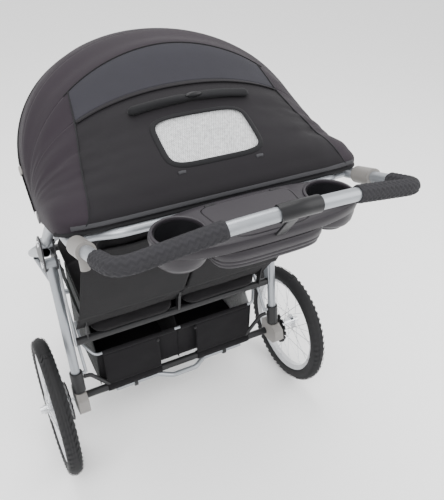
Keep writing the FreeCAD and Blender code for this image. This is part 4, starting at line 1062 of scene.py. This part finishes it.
def basket_run(u, v):
    """Rear wall, floor and front wall in one length of cloth."""
    x = (u - 0.5) * 2 * BASKET_HALF
    here, way, _ = along(basket_line, v)
    soft = noise.noise(Vector((x * 0.012, v * 7, 0.4))) * 3.5
    bow = 5.0 * math.sin(math.pi * u)
    wall = 1.0 if here.z > 216 else 0.0
    return Vector((x, here.y + wall * (bow * (-0.6 if here.y > -150 else 0.6)) * min(1, (here.z - 214) / 40)
                   + soft * wall * 0.6, here.z - basket_sag(x, here.y) * (1 - wall) + soft * (1 - wall) * 0.5))


BASKET_CORNERS = ((0, -13, 322), (0, -15, 204), (0, -288, 204), (0, -290, 468))
basket_line = bent_line([Vector(p) for p in BASKET_CORNERS], 18.0)
run = cloth("basket_main_cloth", 60, 90, basket_run, basket_cloth, "rear_frame",
            outward=(0, -150, 300))
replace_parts(run, "storage_basket")


def basket_side(x, bulge):
    """A side wall or divider at x that rises towards the front."""
    def place(u, v):
        y = -14 - 275 * u
        lift = min(1.0, u / 0.3)
        top = 321 + (78 + 70 * u) * lift * lift * (3 - 2 * lift)
        z = 203 + (top - 203) * v
        soft = noise.noise(Vector((u * 5, v * 3, x * 0.1))) * 3.0
        return Vector((x + (bulge * math.sin(math.pi * u) + soft) * math.sin(math.pi * v), y, z))
    return place


basket_parts = [run]
for word, start, end in (("left", 14, 236), ("right", -6, -236)):
    hem_points = [(start + (end - start) * i / 8, -11.8, 326.5) for i in range(9)]
    cord_piece("basket_hem_" + word, hem_points, 6.6, basket_cloth, "rear_frame")
for word, start, end in (("left", 66, 236), ("right", -54, -236)):
    def wrap(u, v, start=start, end=end):
        turn = 2 * math.pi * v
        slack = 13.4 + 0.8 * noise.noise(Vector((u * 7, v * 2, 4.0)))
        return Vector((start + (end - start) * u, math.cos(turn) * slack, AXLE_Z + math.sin(turn) * slack))
    sleeve_cloth = cloth("basket_axle_wrap_" + word, 40, 24, wrap, basket_cloth, "rear_frame",
                         thick=1.2, outward=(0, 0, AXLE_Z), loop=True)

    def rear_apron(u, v, start=start, end=end):
        x = start + (end - start) * u
        soft = noise.noise(Vector((x * 0.02, v * 3, 1.4))) * 2.5 * math.sin(math.pi * v)
        return Vector((x, 5 - 11 * v + soft, 211 + 112 * v))
    apron_cloth = cloth("basket_rear_apron_" + word, 30, 14, rear_apron, basket_cloth,
                        "rear_frame", thick=1.2, outward=(0, -150, 260))
for word, x in (("left", 70), ("right", -52)):
    bm = bmesh.new()
    bmesh.ops.create_uvsphere(bm, u_segments=16, v_segments=8, radius=1.0)
    bm.transform(Matrix.Translation((x, -3.5, 312)) @ Matrix.Diagonal((5, 2.4, 5, 1)))
    piece("basket_snap_" + word, bm, black_plastic, "rear_frame")
for name, x, bulge, material in (("basket_side_left", BASKET_HALF, 4, seat_panel),
                                 ("basket_side_right", -BASKET_HALF, -4, mesh_white),
                                 ("basket_divider", 0.5, 5, basket_cloth)):
    upright = cloth(name, 30, 16, basket_side(x, bulge), material, "rear_frame", outward=(-x, -150, 260),
                    slot="basket_fabric")
    basket_parts.append(upright)
for soft in basket_parts:
    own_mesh(soft)


# ------------------------------------------------------------ floor, light and camera
bm = bmesh.new()
bmesh.ops.create_grid(bm, x_segments=1, y_segments=1, size=20.0)
floor_mesh = mesh_of("studio_floor", bm)
floor_paint = bpy.data.materials.new("pale_floor")
floor_paint.use_nodes = True
floor_skin = floor_paint.node_tree.nodes["Principled BSDF"].inputs
floor_skin["Base Color"].default_value = (0.97, 0.97, 0.97, 1)
floor_skin["Roughness"].default_value = 0.9
floor_mesh.materials.append(floor_paint)
linked("studio_floor", floor_mesh)

world = bpy.data.worlds.new("studio")
world.use_nodes = True
sky = world.node_tree.nodes["Background"].inputs
sky["Color"].default_value = (1, 1, 1, 1)
sky["Strength"].default_value = 1.45
scene.world = world


def lamp(name, place, aim, size, power):
    """A square area lamp at place that faces aim."""
    light = bpy.data.lights.new(name, "AREA")
    light.size = size
    light.energy = power
    obj = linked(name, light)
    obj.location = place
    obj.rotation_euler = (Vector(aim) - Vector(place)).to_track_quat("-Z", "Y").to_euler()


lamp("key_light", (1.6, 1.9, 3.0), (0, 0, 0.7), 2.2, 110)
lamp("fill_light", (-2.4, 1.6, 2.2), (0, 0, 0.6), 2.6, 60)
lamp("top_light", (0.0, -0.6, 3.4), (0, 0, 0.8), 2.0, 60)


def aimed(azimuth, elevation, roll):
    """The camera's turn: azimuth from straight behind -Y, elevation above the floor, roll to the right."""
    a, e, r = (math.radians(v) for v in (azimuth, elevation, roll))
    back_way = Vector((math.sin(a) * math.cos(e), -math.cos(a) * math.cos(e), math.sin(e)))
    level = Vector((0, 0, 1)).cross(back_way).normalized()
    above = back_way.cross(level)
    right = level * math.cos(r) + above * math.sin(r)
    up = above * math.cos(r) - level * math.sin(r)
    return Matrix((right, up, back_way)).transposed().to_4x4()


camera_data = bpy.data.cameras.new("studio_camera")
camera_data.lens = 40.98
camera_data.sensor_width = 36.0
camera = linked("studio_camera", camera_data)
camera.matrix_world = Matrix.Translation((0.49247, 1.28813, 1.49637)) @ aimed(151.4857, 34.944, 1.2942)
scene.camera = camera
